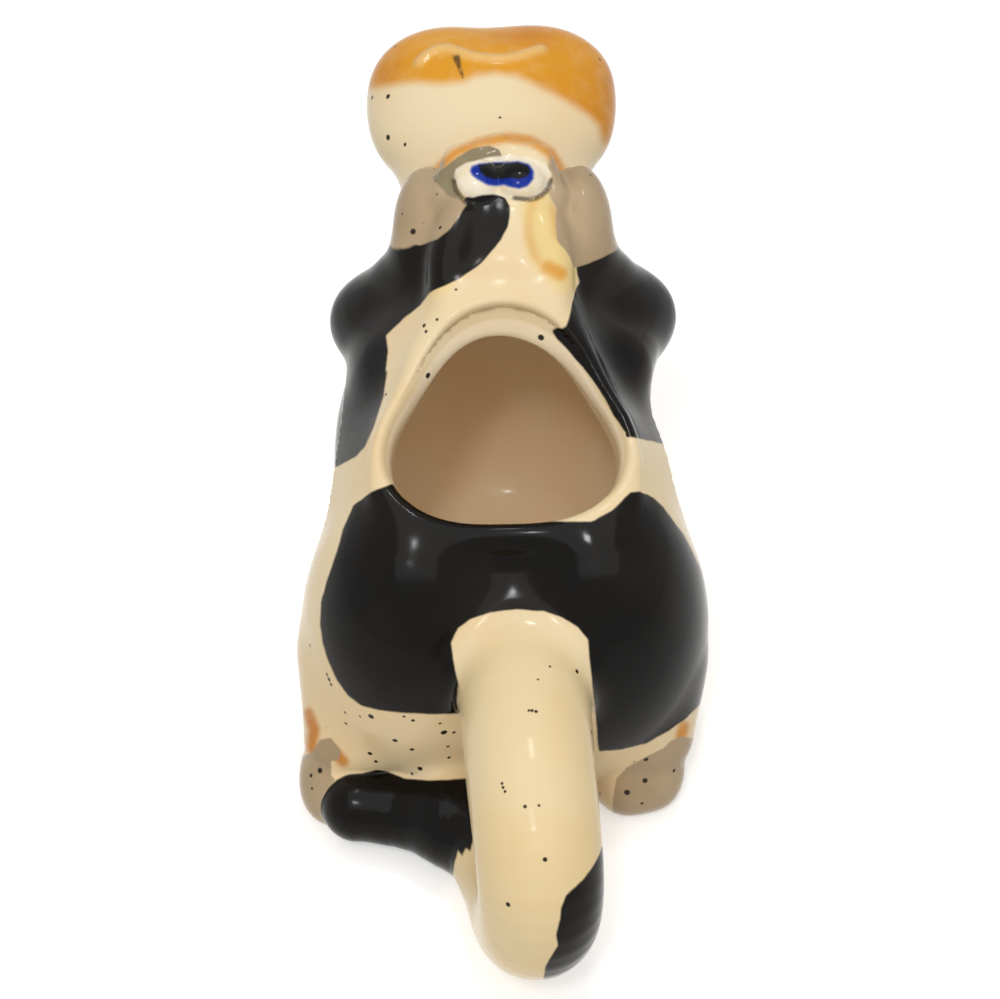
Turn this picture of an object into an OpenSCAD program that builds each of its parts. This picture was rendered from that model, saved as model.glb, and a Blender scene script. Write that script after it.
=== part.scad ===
// Cow creamer: a slip-cast, hand-painted milk jug in the shape of a squatting, calling cow.
// It is filled through the hollow in its back, pours through its mouth and is held by its tail.
// +X is the cow's right side, +Y is the way it faces, and z = 0 is the table it stands on.

/* [Body] */
// Width across the hips
body_w = 82; // [70:1:92]
// Length from rump to chest
body_l = 88; // [78:1:98]
// Height from the table to the top of the shoulders
body_h = 88; // [80:1:96]
// Thickness of the fired wall
wall = 4; // [3:0.5:5]
// Thickness of the floor
floor_t = 5; // [4:0.5:7]
// How softly the rump, belly and shoulders run into each other
body_blend = 14; // [8:1:18]

/* [Fill opening] */
// Inside width of the opening in the back
opening_w = 42; // [36:1:46]
// Inside length of the opening, along the slope of the back
opening_l = 36; // [30:1:40]
// Slope of the rim, rising to the head
opening_tilt = 33; // [26:1:38]
// How far the rolled rim stands above the back
rim_rise = 1; // [0.5:0.25:2]

/* [Head] */
// Width of the skull
head_w = 33; // [30:1:38]
// Length of the skull
head_l = 34; // [30:1:40]
// Height of the skull
head_h = 32; // [28:1:38]
// Height of the middle of the skull
head_z = 86; // [82:1:92]
// How far the skull lies ahead of the middle of the base
head_y = 35; // [32:1:39]
// How far the head leans to the cow's left
head_lean = 0.8; // [0:0.5:3]
// Bore of the passage from the body to the mouth
passage_d = 15; // [11:1:17]

/* [Muzzle] */
// Width of the muzzle
muzzle_w = 51; // [46:1:55]
// Length of the muzzle
muzzle_l = 37; // [33:1:40]
// Height of the muzzle
muzzle_h = 31; // [27:1:35]
// Width of the open mouth, which is the spout
mouth_w = 25; // [20:1:30]
// Height of the open mouth
mouth_h = 15; // [11:1:18]

/* [Eyes and ears] */
// Diameter of an eyeball
eye_d = 11; // [10:0.5:13]
// Thickness of an eyelid
lid_t = 3; // [2:0.2:4]
// Length of an ear
ear_l = 19; // [15:1:24]
// Width of an ear
ear_w = 6.5; // [6:0.5:10]

/* [Tail handle] */
// Diameter of the tail
tail_d = 24; // [20:1:26]
// Height of the middle of the tail where it leaves the rump
tail_z = 41; // [38:1:44]
// How far behind the middle of the base the bend of the tail reaches
tail_reach = 85; // [80:1:90]
// How much less than the length of the body sets where the two ends of the tail lie
tail_tuck = 3; // [1:0.5:5]
// Length of the black tuft on the end of the tail
tuft_l = 28; // [24:1:31]

/* [Forelegs] */
// Diameter of a foreleg
foreleg_d = 18; // [15:1:20]
// Diameter of a fore hoof
fore_hoof_d = 18; // [14:1:19]
// Length of a fore hoof
fore_hoof_l = 17; // [14:1:20]

/* [Hind legs] */
// Diameter of a hind leg
hind_leg_d = 20; // [16:1:23]
// Length of a hind hoof
hind_hoof_l = 22; // [18:1:25]
// Width of a hind hoof
hind_hoof_w = 19; // [15:1:21]
// Height of a hind hoof
hind_hoof_h = 12.5; // [10:0.5:14]

/* [Base] */
// Length of the unglazed pad that the jug stands on
pad_l = 50; // [44:1:54]
// Width of the unglazed pad
pad_w = 42; // [36:1:46]
// Height of the pad
pad_h = 1.5; // [1:0.25:2.5]

/* [Hidden] */

// Colours of the glaze
cream = [0.94, 0.86, 0.70];
black = [0.08, 0.07, 0.07];
amber = [0.85, 0.52, 0.13];
horn_grey = [0.60, 0.55, 0.48];
olive = [0.45, 0.42, 0.30];
yellow = [0.93, 0.84, 0.55];
white = [0.95, 0.93, 0.88];
bisque = [0.80, 0.70, 0.58];

// Seam of slip between two pieces that are luted together
lute = 0.12;
// Seam between two limbs, both of them rounded
limb_seam = 0.65;
// Halvings in the search for a skin along a ray
search_steps = 15;
// Sides and rings of each skin, and how many rings a seat has beside them
seat_ring_share = 0.4;
seat_in_share = 0.4;
seam_evening = 2;
// A direction nearer to the X axis than this is squared with the Z axis instead
steep_share = 0.9;
body_sides = 44;
body_rings = 22;
tube_sides = 28;
head_rings = 14;
head_seat_rings = 3;
head_seat_share = 0.06;
head_waist_share = 0.5;
muzzle_rings = 14;
bore_rings = 5;
// Above 1, the body's rings crowd towards the opening
ring_crowding = 1.3;
limb_sides = 22;
limb_rings = 10;
small_sides = 16;
small_rings = 7;
tail_sides = 18;
tail_rings = 24;
pad_sides = 48;

// Body: swellings as shares of its width, length and height, each with its middle and half size
body_size = [body_w, body_l, body_h];
body_reach = norm(body_size);
body_swell_shares = [
    [[-0.222, -0.245, 0.33], [0.29, 0.30, 0.46]],
    [[0.205, -0.245, 0.33], [0.285, 0.30, 0.46]],
    [[-0.01, 0.06, 0.32], [0.37, 0.44, 0.45]],
    [[-0.045, 0.15, 0.58], [0.37, 0.27, 0.42]],
];
body_core_share = [0, -0.06, 0.43];
body_core = each_scaled(body_core_share, body_size);
// Softness of the corner between the side and the underside
heel_round = 5;

// Fill opening: its middle, its rounded corners and the way it faces
opening_place_share = [-0.008, -0.122, 0.86];
opening_corners = 3;
opening_corner_share = 0.1;
lip_round_share = 0.5;
lip_side_share = 0.65;
// Collar that carries the rim above the back, and the throat inside it
collar_depth = 16;
collar_slope_share = 0.35;
collar_round = 3;
collar_blend = 5;
throat_depth = 14;
throat_blend = 4;
opening_at = each_scaled(opening_place_share, body_size);
opening_out = [0, -sin(opening_tilt), cos(opening_tilt)];
opening_up = [0, cos(opening_tilt), sin(opening_tilt)];
opening_axis = unit(opening_at - body_core);

// Head: skull, bridge of the nose and neck, as shares of the skull's width, length and height
head_size = [head_w, head_l, head_h];
head_at = [-head_lean, head_y, head_z];
head_swell_shares = [
    [[0, 0, 0], [0.50, 0.50, 0.50]],
    [[-0.015, 0.50, 0.02], [0.585, 0.47, 0.43]],
    [[0, -0.36, -0.30], [0.60, 0.48, 0.56]],
];
head_middle_share = [0, -0.05, 0];
head_middle = head_at + each_scaled(head_middle_share, head_size);
head_blend = 9;

// Muzzle: swellings as shares of its width, length and height
muzzle_size = [muzzle_w, muzzle_l, muzzle_h];
muzzle_place_share = [-0.02, 1.035, 0.07];
muzzle_swell_shares = [
    [[0, 0, 0], [0.48, 0.46, 0.47]],
    [[-0.25, 0.18, 0.06], [0.23, 0.28, 0.36]],
    [[0.25, 0.18, 0.06], [0.23, 0.28, 0.36]],
    [[0, -0.20, 0], [0.455, 0.42, 0.40]],
];
muzzle_at = head_at + each_scaled(muzzle_place_share, head_size);
muzzle_blend = 8;
mouth_pitch = -18;
mouth_out = [0, cos(mouth_pitch), sin(mouth_pitch)];
mouth_far_share = 0.46;
mouth_lip_share = 0.35;

// Passage from the body's hollow to the muzzle's, through the head
hole_cells = 2;
hole_i = body_sides / 4;
hole_j = 6;
body_hole_way = body_way(360 * hole_i / body_sides, ring_share(hole_j), wall);
body_hole_at = leave(function(p) shell_at(p), body_core, body_hole_way, 0, body_reach);
muzzle_hole_way = unit(head_middle - muzzle_at);
muzzle_hole_at = leave(function(p) muzzle_form(p), muzzle_at, muzzle_hole_way, 0, body_reach);
bore_swell_share = 0.7;

// Eyes, lids and ears, placed by shares of the skull's width, length and height from its middle
eye_place_share = [0.125, -0.045, 0.43];
out_share = 0.25;
lid_shares = [[0.02, 0.17, 0.51], [0.22, 0.10, 0.49], [0.345, -0.08, 0.40]];
ear_root_share = [0.22, -0.16, 0.41];
ear_tip_share = [0.35, -0.62, 0.17];
ear_t_share = 0.5;

// Tail: its route, as shares of its reach sideways and back and of the height of its root. The
// ends of the route keep to the body, and its bend goes as far as the tail reaches
tail_route_shares = [
    [0.02, -0.40, 1.00], [0.025, -0.60, 1.08], [0.032, -0.79, 1.08], [0.045, -0.95, 0.93],
    [0.045, -1.00, 0.68], [0.025, -0.94, 0.42], [-0.005, -0.81, 0.29], [-0.06, -0.695, 0.25],
    [-0.155, -0.63, 0.24],
];
tail_bend_shares = [0, 0, 0.5, 1, 1, 1, 0.5, 0, 0];
tail_flare_share = 0.16;
tail_flare_end = 8;
tail_root_share = 0.33;
tail_end_d_share = 0.78;
// Tuft: its waist and its tip, as shares of its length and of the tail's diameter
tuft_waist_share = [-0.34, 0.11, -0.04];
tuft_tip_share = [-0.66, 0.135, -0.05];
tuft_waist_d_share = 0.58;
tuft_tip_d_share = 0.66;
tuft_lean = 75;

// Forelegs, as shares of the body's width, length and height
shoulder_share = [0.25, 0.16, 0.80];
elbow_share = [0.308, 0.34, 0.76];
wrist_share = [0.16, 0.305, 0.97];
hoof_tip_share = [0.142, 0.455, 1.10];
foreleg_middle_share = [0.29, 0.30, 0.80];
foreleg_seat_share = [0.10, 0.36, 0.72];
wrist_in_share = 0.45;
toe_gap_share = 0.20;
toe_half_share = [0.31, 0.46, 0.66];
toe_blend = 1.5;
leg_blend = 5;

// Hind legs, left and right, as shares of the body's width, length and height
hip_shares = [[-0.39, -0.30, 0.32], [0.342, -0.32, 0.28]];
ankle_shares = [[-0.395, -0.41, 0.16], [0.332, -0.41, 0.15]];
hind_middle_share = 0.3;
hind_hoof_shares = [[-0.403, -0.45, 0], [0.318, -0.43, 0]];
hind_toe_turn = 12;
hind_toe_half_share = [0.52, 0.30, 0.75];

// Vector helpers
function unit(v) = v / norm(v);
function mix(a, b, t) = a + (b - a) * t;
function each_scaled(a, b) = [a.x * b.x, a.y * b.y, a.z * b.z];
function each_divided(a, b) = [a.x / b.x, a.y / b.y, a.z / b.z];
function sided(p, side) = [p.x * side, p.y, p.z];
function flat_list(rings) = [for (ring = rings) for (p = ring) p];
function square_off(v, w) = unit(v - w * (v * w));

// Two directions square to w, which make a right-handed set with it
function square_to(w) =
    let (u = square_off(abs(w.x) < steep_share ? [1, 0, 0] : [0, 0, 1], w))
    [u, cross(w, u)];

// A field is negative inside a form and about the distance from its skin near it
function ball(p, middle, half) =
    let (q = p - middle, a = norm(each_divided(q, half)),
         b = norm(each_divided(q, each_scaled(half, half))))
    b == 0 ? -min(half) : a * (a - 1) / b;
function turned_ball(p, middle, axes, half) =
    let (q = p - middle)
    ball([q * axes[0], q * axes[1], q * axes[2]], [0, 0, 0], half);
function capsule(p, a, b, ra, rb) =
    let (t = max(0, min(1, (p - a) * (b - a) / ((b - a) * (b - a)))))
    norm(p - mix(a, b, t)) - mix(ra, rb, t);
function blend(a, b, soft) =
    let (h = max(soft - abs(a - b), 0))
    min(a, b) - h * h / soft / 4;
function blend_all(list, soft, i = 0) =
    i == len(list) - 1 ? list[i] : blend(list[i], blend_all(list, soft, i + 1), soft);
function cut_back(a, b, soft) = -blend(-a, -b, soft);
function swell(p, shares, at, size, soft) =
    blend_all([for (s = shares) ball(p, at + each_scaled(s[0], size), each_scaled(s[1], size))], soft);

// Point where a ray leaves a field, found by halving
function leave(f, from, way, near, far, steps = search_steps) =
    let (middle = (near + far) / 2)
    steps == 0 ? from + way * middle
    : f(from + way * middle) < 0 ? leave(f, from, way, middle, far, steps - 1)
    : leave(f, from, way, near, middle, steps - 1);

// Directions round an axis, in even turns
function turn_way(axis, round, spread) =
    let (s = square_to(axis))
    axis * cos(spread) + (s[0] * cos(round) + s[1] * sin(round)) * sin(spread);

// Directions from the edge round a first axis to the edge round a second, for a tube's skin
function tube_way(first, second, first_spread, second_spread, round, t) =
    turn_way(unit(mix(first, -second, t)), round, mix(first_spread, 180 - second_spread, t));

// How far along a fan of rays a piece's own skin runs before it meets what it is seated on
function seam(own, seat, middle, way, reach, near, far, steps = search_steps) =
    let (at = (near + far) / 2)
    steps == 0 ? near
    : seat(leave(own, middle, way(at), 0, reach)) < 0
        ? seam(own, seat, middle, way, reach, at, far, steps - 1)
    : seam(own, seat, middle, way, reach, near, at, steps - 1);

// A closed list of numbers, evened out with its neighbours some times over
function evened(list, times) =
    let (n = len(list))
    times == 0 ? list
    : evened([for (i = [0:n - 1]) (list[(i + n - 1) % n] + list[i] * 2 + list[(i + 1) % n]) / 4],
        times - 1);

// Rings of its own skin down to that seam, and then of its seat, from one pole to the other
function seated_rings(own, seat, middle, axis, reach, sides, rings) =
    let (both = function(p) max(own(p), seat(p)),
         seat_rings = ceil(rings * seat_ring_share),
         edges = evened([for (i = [0:sides - 1])
             seam(own, seat, middle, function(t) turn_way(axis, 360 * i / sides, t), reach, 0, 180)],
             seam_evening),
         spread = function(i, j)
             j <= rings ? edges[i] * j / rings : mix(edges[i], 180, (j - rings) / seat_rings))
    [for (j = [1:rings + seat_rings - 1]) [for (i = [0:sides - 1])
        leave(both, middle, turn_way(axis, 360 * i / sides, spread(i, j)), 0, reach)]];

// Triangles between rings, split either way, and from a ring to a pole
function cell(a, b, c, d, over = false) = over ? [[a, b, d], [b, c, d]] : [[a, b, c], [a, c, d]];
function strip(sides, rings, at) =
    [for (j = [0:rings - 2], i = [0:sides - 1])
        let (a = at + j * sides + i, b = at + j * sides + (i + 1) % sides)
        for (t = cell(a, b, b + sides, a + sides)) t];
function fan(sides, at, pole, under) =
    [for (i = [0:sides - 1])
        let (a = at + i, b = at + (i + 1) % sides)
        under ? [a, b, pole] : [b, a, pole]];

// A closed skin from a first pole through its rings to a last pole
module closed_skin(rings, first, last) {
    sides = len(rings[0]);
    count = len(rings);
    polyhedron(
        points = concat([first], flat_list(rings), [last]),
        faces = concat(
            fan(sides, 1, 0, false),
            strip(sides, count, 1),
            fan(sides, 1 + (count - 1) * sides, 1 + count * sides, true)),
        convexity = 8);
}

// A skin whose last ring runs on into its first, such as a hollow tube with open ends
module loop_skin(rings) {
    sides = len(rings[0]);
    points = flat_list(rings);
    polyhedron(
        points = points,
        faces = [for (t = strip(sides, len(rings) + 1, 0)) [for (k = t) k % len(points)]],
        convexity = 8);
}

// A rounded piece that is seated on its neighbours, seen from a point inside it and clear of them
module seated_pod(own, seat, start, axis, reach, sides, rings) {
    both = function(p) max(own(p), seat(p));
    clear_at = leave(function(p) -seat(p), start, axis, 0, reach);
    middle = seat(start) < 0 ? start : mix(clear_at, leave(own, clear_at, axis, 0, reach), seat_in_share);
    closed_skin(
        seated_rings(own, seat, middle, axis, reach, sides, rings),
        leave(own, middle, axis, 0, reach),
        leave(both, middle, -axis, 0, reach));
}

// Forms of the body, without and with its flat underside, and of its hollow
function body_form(p) = swell(p, body_swell_shares, [0, 0, 0], body_size, body_blend);
function body_at(p) = cut_back(body_form(p), pad_h - p.z, heel_round);

// How far a point is outside the opening's outline and above its plane, and the rim's local width
function rim_spot(p) =
    let (q = p - opening_at, y = q * opening_up, round = atan2(y / opening_l, q.x / opening_w),
         r = 1 + opening_corner_share * cos(opening_corners * (round - 90)),
         out = norm([q.x / opening_w, y / opening_l]) * 2)
    [(out / r - 1) * (opening_w + opening_l) / 4, q * opening_out,
     wall * norm([lip_side_share * cos(round), sin(round)])];
function collar_at(p) =
    let (s = rim_spot(p))
    max(cut_back(s[0] - s[2] + collar_slope_share * min(s[1], 0), s[1], collar_round),
        -s[1] - collar_depth);
function throat_at(p) =
    let (s = rim_spot(p))
    max(s[0], -s[1] - throat_depth);
function shell_at(p) = blend(body_at(p), collar_at(p), collar_blend);
function hollow_at(p) =
    blend(cut_back(body_form(p) + wall, pad_h + floor_t - p.z, heel_round), throat_at(p), throat_blend);

// Outline of the fill opening, grown by a margin, in the plane of its rim
function opening_point(round, grow) =
    let (r = 1 + opening_corner_share * cos(opening_corners * (round - 90)))
    opening_at + [1, 0, 0] * (opening_w / 2 + grow * lip_side_share) * r * cos(round)
        + opening_up * (opening_l / 2 + grow) * r * sin(round);

// Directions of the body's rays, from the opening's edge round to the floor
function body_way(round, down_share, grow) =
    let (edge = unit(opening_point(round, grow) - body_core), side = square_off(edge, opening_axis),
         down = mix(acos(edge * opening_axis), 180, down_share))
    opening_axis * cos(down) + side * sin(down);

function ring_share(j) = pow(j / body_rings, ring_crowding);

// Directions to the edge of the passage, which a block of cells leaves open
function hole_way(a, b) =
    let (u = [-1, 0, 0], v = cross(u, body_hole_way),
         spread = atan2(passage_d / 2, norm(body_hole_at - body_core)))
    body_hole_way * cos(spread) + unit(u * a + v * b) * sin(spread);
function shell_way(i, j, grow) =
    let (a = (i - hole_i) / hole_cells, b = (j - hole_j) / hole_cells)
    a * a > 1 || b * b > 1 || a == 0 && b == 0 ? body_way(360 * i / body_sides, ring_share(j), grow)
    : hole_way(a, b);

module body_shell() {
    outside = function(p) shell_at(p);
    inside = function(p) hollow_at(p);
    turns = [for (i = [0:body_sides - 1]) 360 * i / body_sides];
    outer = [for (j = [1:body_rings - 1]) [for (i = [0:body_sides - 1])
        leave(outside, body_core, shell_way(i, j, wall), 0, body_reach)]];
    inner = [for (j = [body_rings - 1:-1:1]) [for (i = [0:body_sides - 1])
        leave(inside, body_core, shell_way(i, j, 0), 0, body_reach)]];
    lip = [
        [for (t = turns) opening_point(t, 0)],
        [for (t = turns) opening_point(t, wall * lip_round_share) + opening_out * rim_rise],
        [for (t = turns) opening_point(t, wall)],
    ];
    rings = concat(inner, lip, outer);
    // Row of an inner or outer ring, and the number of a point in it
    inner_row = function(j) len(inner) - j;
    outer_row = function(j) len(inner) + len(lip) + j - 1;
    at = function(i, row) 1 + row * body_sides + i;
    low_i = hole_i - hole_cells;
    high_i = hole_i + hole_cells;
    low_j = hole_j - hole_cells;
    high_j = hole_j + hole_cells;
    in_hole = function(i, row)
        i >= low_i && i < high_i
        && (row >= outer_row(low_j) && row < outer_row(high_j)
            || row >= inner_row(high_j) && row < inner_row(low_j));
    skin = [for (row = [0:len(rings) - 2], i = [0:body_sides - 1])
        if (!in_hole(i, row))
            let (b = (i + 1) % body_sides, over = cos(turns[i]) > 0)
            for (t = cell(at(i, row), at(b, row), at(b, row + 1), at(i, row + 1), over)) t];
    // Walls of the passage, along the four edges of the open block
    edge = concat(
        [for (i = [low_i:high_i - 1]) [i, low_j]],
        [for (j = [low_j:high_j - 1]) [high_i, j]],
        [for (i = [high_i:-1:low_i + 1]) [i, high_j]],
        [for (j = [high_j:-1:low_j + 1]) [low_i, j]]);
    bore = [for (k = [0:len(edge) - 1])
        let (p = edge[k], q = edge[(k + 1) % len(edge)])
        for (t = cell(at(p[0], outer_row(p[1])), at(q[0], outer_row(q[1])),
                      at(q[0], inner_row(q[1])), at(p[0], inner_row(p[1])))) t];
    color(cream)
    polyhedron(
        points = concat(
            [leave(inside, body_core, -opening_axis, 0, body_reach)],
            flat_list(rings),
            [leave(outside, body_core, -opening_axis, 0, body_reach)]),
        faces = concat(
            fan(body_sides, 1, 0, false),
            skin,
            bore,
            fan(body_sides, at(0, len(rings) - 1), at(0, len(rings)), true)),
        convexity = 10);
}

module base_pad() {
    color(bisque)
    linear_extrude(pad_h)
    polygon([for (i = [0:pad_sides - 1])
        let (round = 360 * i / pad_sides)
        [pad_w / 2 * cos(round), pad_l / 2 * sin(round)]]);
}

function head_form(p) = swell(p, head_swell_shares, head_at, head_size, head_blend);
function muzzle_form(p) = swell(p, muzzle_swell_shares, muzzle_at, muzzle_size, muzzle_blend);

// Edges of the passage on the body's skin and on the muzzle's
function body_hole_point(round) =
    leave(function(p) shell_at(p) - lute, body_core,
        turn_way(body_hole_way, round, atan2(passage_d / 2, norm(body_hole_at - body_core))),
        0, body_reach);
function muzzle_hole_spread() = atan2(passage_d / 2, norm(muzzle_hole_at - muzzle_at));
function muzzle_hole_point(round) =
    leave(function(p) muzzle_form(p) - lute, muzzle_at,
        turn_way(-muzzle_hole_way, round, 180 - muzzle_hole_spread()), 0, body_reach);

module head() {
    own = function(p) head_form(p);
    to_muzzle = unit(muzzle_hole_at - head_middle);
    to_body = unit(body_hole_at - head_middle);
    muzzle_spread = atan2(passage_d / 2, norm(muzzle_hole_at - head_middle));
    body_spread = atan2(passage_d / 2, norm(body_hole_at - head_middle));
    turns = [for (i = [0:tube_sides - 1]) 360 * i / tube_sides];
    way = function(i, share) tube_way(to_muzzle, to_body, muzzle_spread, body_spread, turns[i], share);
    // Where its own skin meets the muzzle and the body, on each line from one to the other
    meet = function(seat, end) evened([for (i = [0:tube_sides - 1])
        seam(own, seat, head_middle, function(t) way(i, t), body_reach, head_waist_share, end)],
        seam_evening);
    at_muzzle = [for (t = meet(function(p) lute - muzzle_form(p), 0)) max(t, head_seat_share)];
    at_body = [for (t = meet(function(p) lute - shell_at(p), 1)) min(t, 1 - head_seat_share)];
    share = function(i, j)
        j < head_seat_rings ? at_muzzle[i] * j / head_seat_rings
        : j > head_rings - head_seat_rings ? mix(1, at_body[i], (head_rings - j) / head_seat_rings)
        : mix(at_muzzle[i], at_body[i], (j - head_seat_rings) / (head_rings - 2 * head_seat_rings));
    skull = function(p) max(own(p), lute - shell_at(p), lute - muzzle_form(p));
    outer = [for (j = [1:head_rings - 1]) [for (i = [0:tube_sides - 1])
        leave(skull, head_middle, way(i, share(i, j)), 0, body_reach)]];
    first = [for (t = turns) muzzle_hole_point(t)];
    last = [for (t = turns) body_hole_point(t)];
    // The bore curves through the middle and swells there
    swelling = (head_w / 2 - wall - passage_d / 2) * bore_swell_share;
    bore = [for (j = [1:bore_rings - 1]) [for (i = [0:tube_sides - 1])
        let (t = j / bore_rings,
             middle = mix(mix(body_hole_at, head_middle, t), mix(head_middle, muzzle_hole_at, t), t),
             out = unit(mix(last[i] - body_hole_at, first[i] - muzzle_hole_at, t)))
        middle + out * (passage_d / 2 + swelling * sin(180 * t))]];
    color(cream)
    loop_skin(concat([first], outer, [last], bore));
}

module muzzle() {
    outside = function(p) muzzle_form(p);
    inside = function(p) muzzle_form(p) + wall;
    s = square_to(mouth_out);
    turns = [for (i = [0:tube_sides - 1]) 360 * i / tube_sides];
    mouth_way = function(t)
        mouth_out * muzzle_l * mouth_far_share + s[0] * mouth_w / 2 * cos(t) + s[1] * mouth_h / 2 * sin(t);
    way = function(t, share)
        tube_way(mouth_out, muzzle_hole_way, acos(unit(mouth_way(t)) * mouth_out), muzzle_hole_spread(),
            t, share);
    outer = [for (j = [0:muzzle_rings]) [for (t = turns)
        leave(outside, muzzle_at, way(t, j / muzzle_rings), 0, muzzle_w)]];
    inner = [for (j = [muzzle_rings:-1:0]) [for (t = turns)
        leave(inside, muzzle_at, way(t, j / muzzle_rings), 0, muzzle_w)]];
    lip = [for (i = [0:tube_sides - 1])
        mix(outer[0][i], inner[muzzle_rings][i], mouth_lip_share) + mouth_out * rim_rise];
    color(amber)
    loop_skin(concat(outer, inner, [lip]));
}

// Eyes, a pair of balls that touch between each other
function eye_at(side) = head_at + each_scaled(sided(eye_place_share, side), head_size);
function eye_form(p, side) = norm(p - eye_at(side)) - eye_d / 2;
function eye_out(side) = unit([side * out_share, -out_share, 1]);
function beside(p, side) = lute / 2 - (p.x - head_at.x) * side;
module eyeball(side) {
    own = function(p) eye_form(p, side);
    seat = function(p) max(lute - head_form(p), lute - muzzle_form(p), beside(p, side));
    color(white)
    seated_pod(own, seat, eye_at(side) + eye_out(side) * eye_d * out_share, eye_out(side), eye_d,
        small_sides, small_rings);
}

function lid_spots(side) = [for (share = lid_shares) head_at + each_scaled(sided(share, side), head_size)];
function lid_form(p, side) =
    let (spots = lid_spots(side))
    blend(
        capsule(p, spots[0], spots[1], lid_t, lid_t),
        capsule(p, spots[1], spots[2], lid_t, lid_t / 2), lid_t);
module eyelid(side, shade) {
    own = function(p) lid_form(p, side);
    seat = function(p)
        max(lute - head_form(p), lute - muzzle_form(p), lute - eye_form(p, side), beside(p, side));
    spot = lid_spots(side)[1];
    out = unit(spot - head_middle);
    color(shade)
    seated_pod(own, seat, spot + out * lid_t / 2, out, head_w, limb_sides, small_rings);
}

function ear_spots(side) =
    [for (share = [ear_root_share, ear_tip_share]) head_at + each_scaled(sided(share, side), head_size)];
function ear_middle(side) = (ear_spots(side)[0] + ear_spots(side)[1]) / 2;
function ear_along(side) = unit(ear_spots(side)[1] - ear_spots(side)[0]);
function ear_out(side) = square_off(ear_middle(side) - head_middle, ear_along(side));
function ear_form(p, side) =
    turned_ball(p, ear_middle(side),
        [cross(ear_out(side), ear_along(side)), ear_out(side), ear_along(side)],
        [ear_w / 2, ear_w * ear_t_share, ear_l / 2]);
module ear(side, shade) {
    own = function(p) ear_form(p, side);
    seat = function(p) max(lute - head_form(p), lute - shell_at(p), lute - lid_form(p, side));
    out = ear_out(side);
    color(shade)
    seated_pod(own, seat, ear_middle(side) + out * ear_w * ear_t_share / 2, out, ear_l, small_sides,
        small_rings);
}

// Forelegs, bent at the elbow, with cloven hooves cupped behind the muzzle
function body_spot(share, side) = each_scaled(sided(share, side), body_size);
function hoof_way(side) = unit(body_spot(hoof_tip_share, side) - body_spot(wrist_share, side));
function foreleg_form(p, side) =
    let (elbow = body_spot(elbow_share, side), r = foreleg_d / 2)
    blend(capsule(p, body_spot(shoulder_share, side), elbow, r, r),
          capsule(p, elbow, body_spot(wrist_share, side), r, fore_hoof_d / 2), leg_blend);
module foreleg(side) {
    own = function(p) foreleg_form(p, side);
    seat = function(p) max(lute - shell_at(p), lute - head_form(p), lute - muzzle_form(p),
        limb_seam - fore_hoof_form(p, side));
    middle = body_spot(foreleg_middle_share, side);
    color(black)
    seated_pod(own, seat, middle, unit(middle - body_spot(foreleg_seat_share, side)), body_w,
        limb_sides, limb_rings);
}

function toes(p, middle, along, split, half, gap) =
    let (axes = [split, cross(along, split), along])
    blend(
        turned_ball(p, middle - split * gap, axes, half),
        turned_ball(p, middle + split * gap, axes, half),
        toe_blend);
function fore_hoof_at(side) = body_spot(wrist_share, side) + hoof_way(side) * fore_hoof_l * wrist_in_share;
function fore_hoof_form(p, side) =
    toes(p, fore_hoof_at(side), hoof_way(side), square_off([1, 0, 0], hoof_way(side)),
        each_scaled(toe_half_share, [fore_hoof_d, fore_hoof_d, fore_hoof_l]), fore_hoof_d * toe_gap_share);
module fore_hoof(side) {
    own = function(p) fore_hoof_form(p, side);
    seat = function(p) max(lute - head_form(p), lute - muzzle_form(p), lute - shell_at(p),
        limb_seam - lid_form(p, side), limb_seam - ear_form(p, side));
    out = unit(fore_hoof_at(side) - head_middle);
    color(horn_grey)
    seated_pod(own, seat, fore_hoof_at(side) + out * fore_hoof_d * out_share, out, fore_hoof_l * 2,
        limb_sides, limb_rings);
}

// Hind legs, folded under the rump, on cloven hooves that lie flat on the table
function of_side(pair, side) = pair[side < 0 ? 0 : 1];
function hind_hoof_at(side) =
    each_scaled(of_side(hind_hoof_shares, side), body_size) + [0, 0, hind_hoof_h / 2];
function hind_hoof_form(p, side) =
    let (along = [sin(hind_toe_turn) * side, -cos(hind_toe_turn), 0],
         half = each_scaled(hind_toe_half_share, [hind_hoof_l, hind_hoof_w, hind_hoof_h]))
    cut_back(
        toes(p, hind_hoof_at(side), along, [-along.y, along.x, 0], [half.y, half.z, half.x],
            hind_hoof_w * toe_gap_share),
        -p.z, toe_blend);
module hind_hoof(side) {
    own = function(p) hind_hoof_form(p, side);
    seat = function(p)
        side < 0 ? max(lute - body_at(p), limb_seam - tuft_form(p)) : lute - body_at(p);
    out = unit([side, -1, 0]);
    color(horn_grey)
    seated_pod(own, seat, hind_hoof_at(side), out, hind_hoof_l * 2, limb_sides, limb_rings);
}
function hip(side) = each_scaled(of_side(hip_shares, side), body_size);
function ankle(side) = each_scaled(of_side(ankle_shares, side), body_size);
function hind_leg_form(p, side) = capsule(p, hip(side), ankle(side), hind_leg_d / 2, hind_leg_d / 2);
module hind_leg(side) {
    out = unit([side, -1, 0]);
    own = function(p) hind_leg_form(p, side);
    seat = function(p) max(lute - body_at(p), limb_seam - hind_hoof_form(p, side));
    color(cream)
    seated_pod(own, seat, mix(ankle(side), hip(side), hind_middle_share) + out * hind_leg_d * out_share,
        out, body_w, limb_sides, limb_rings);
}

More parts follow.
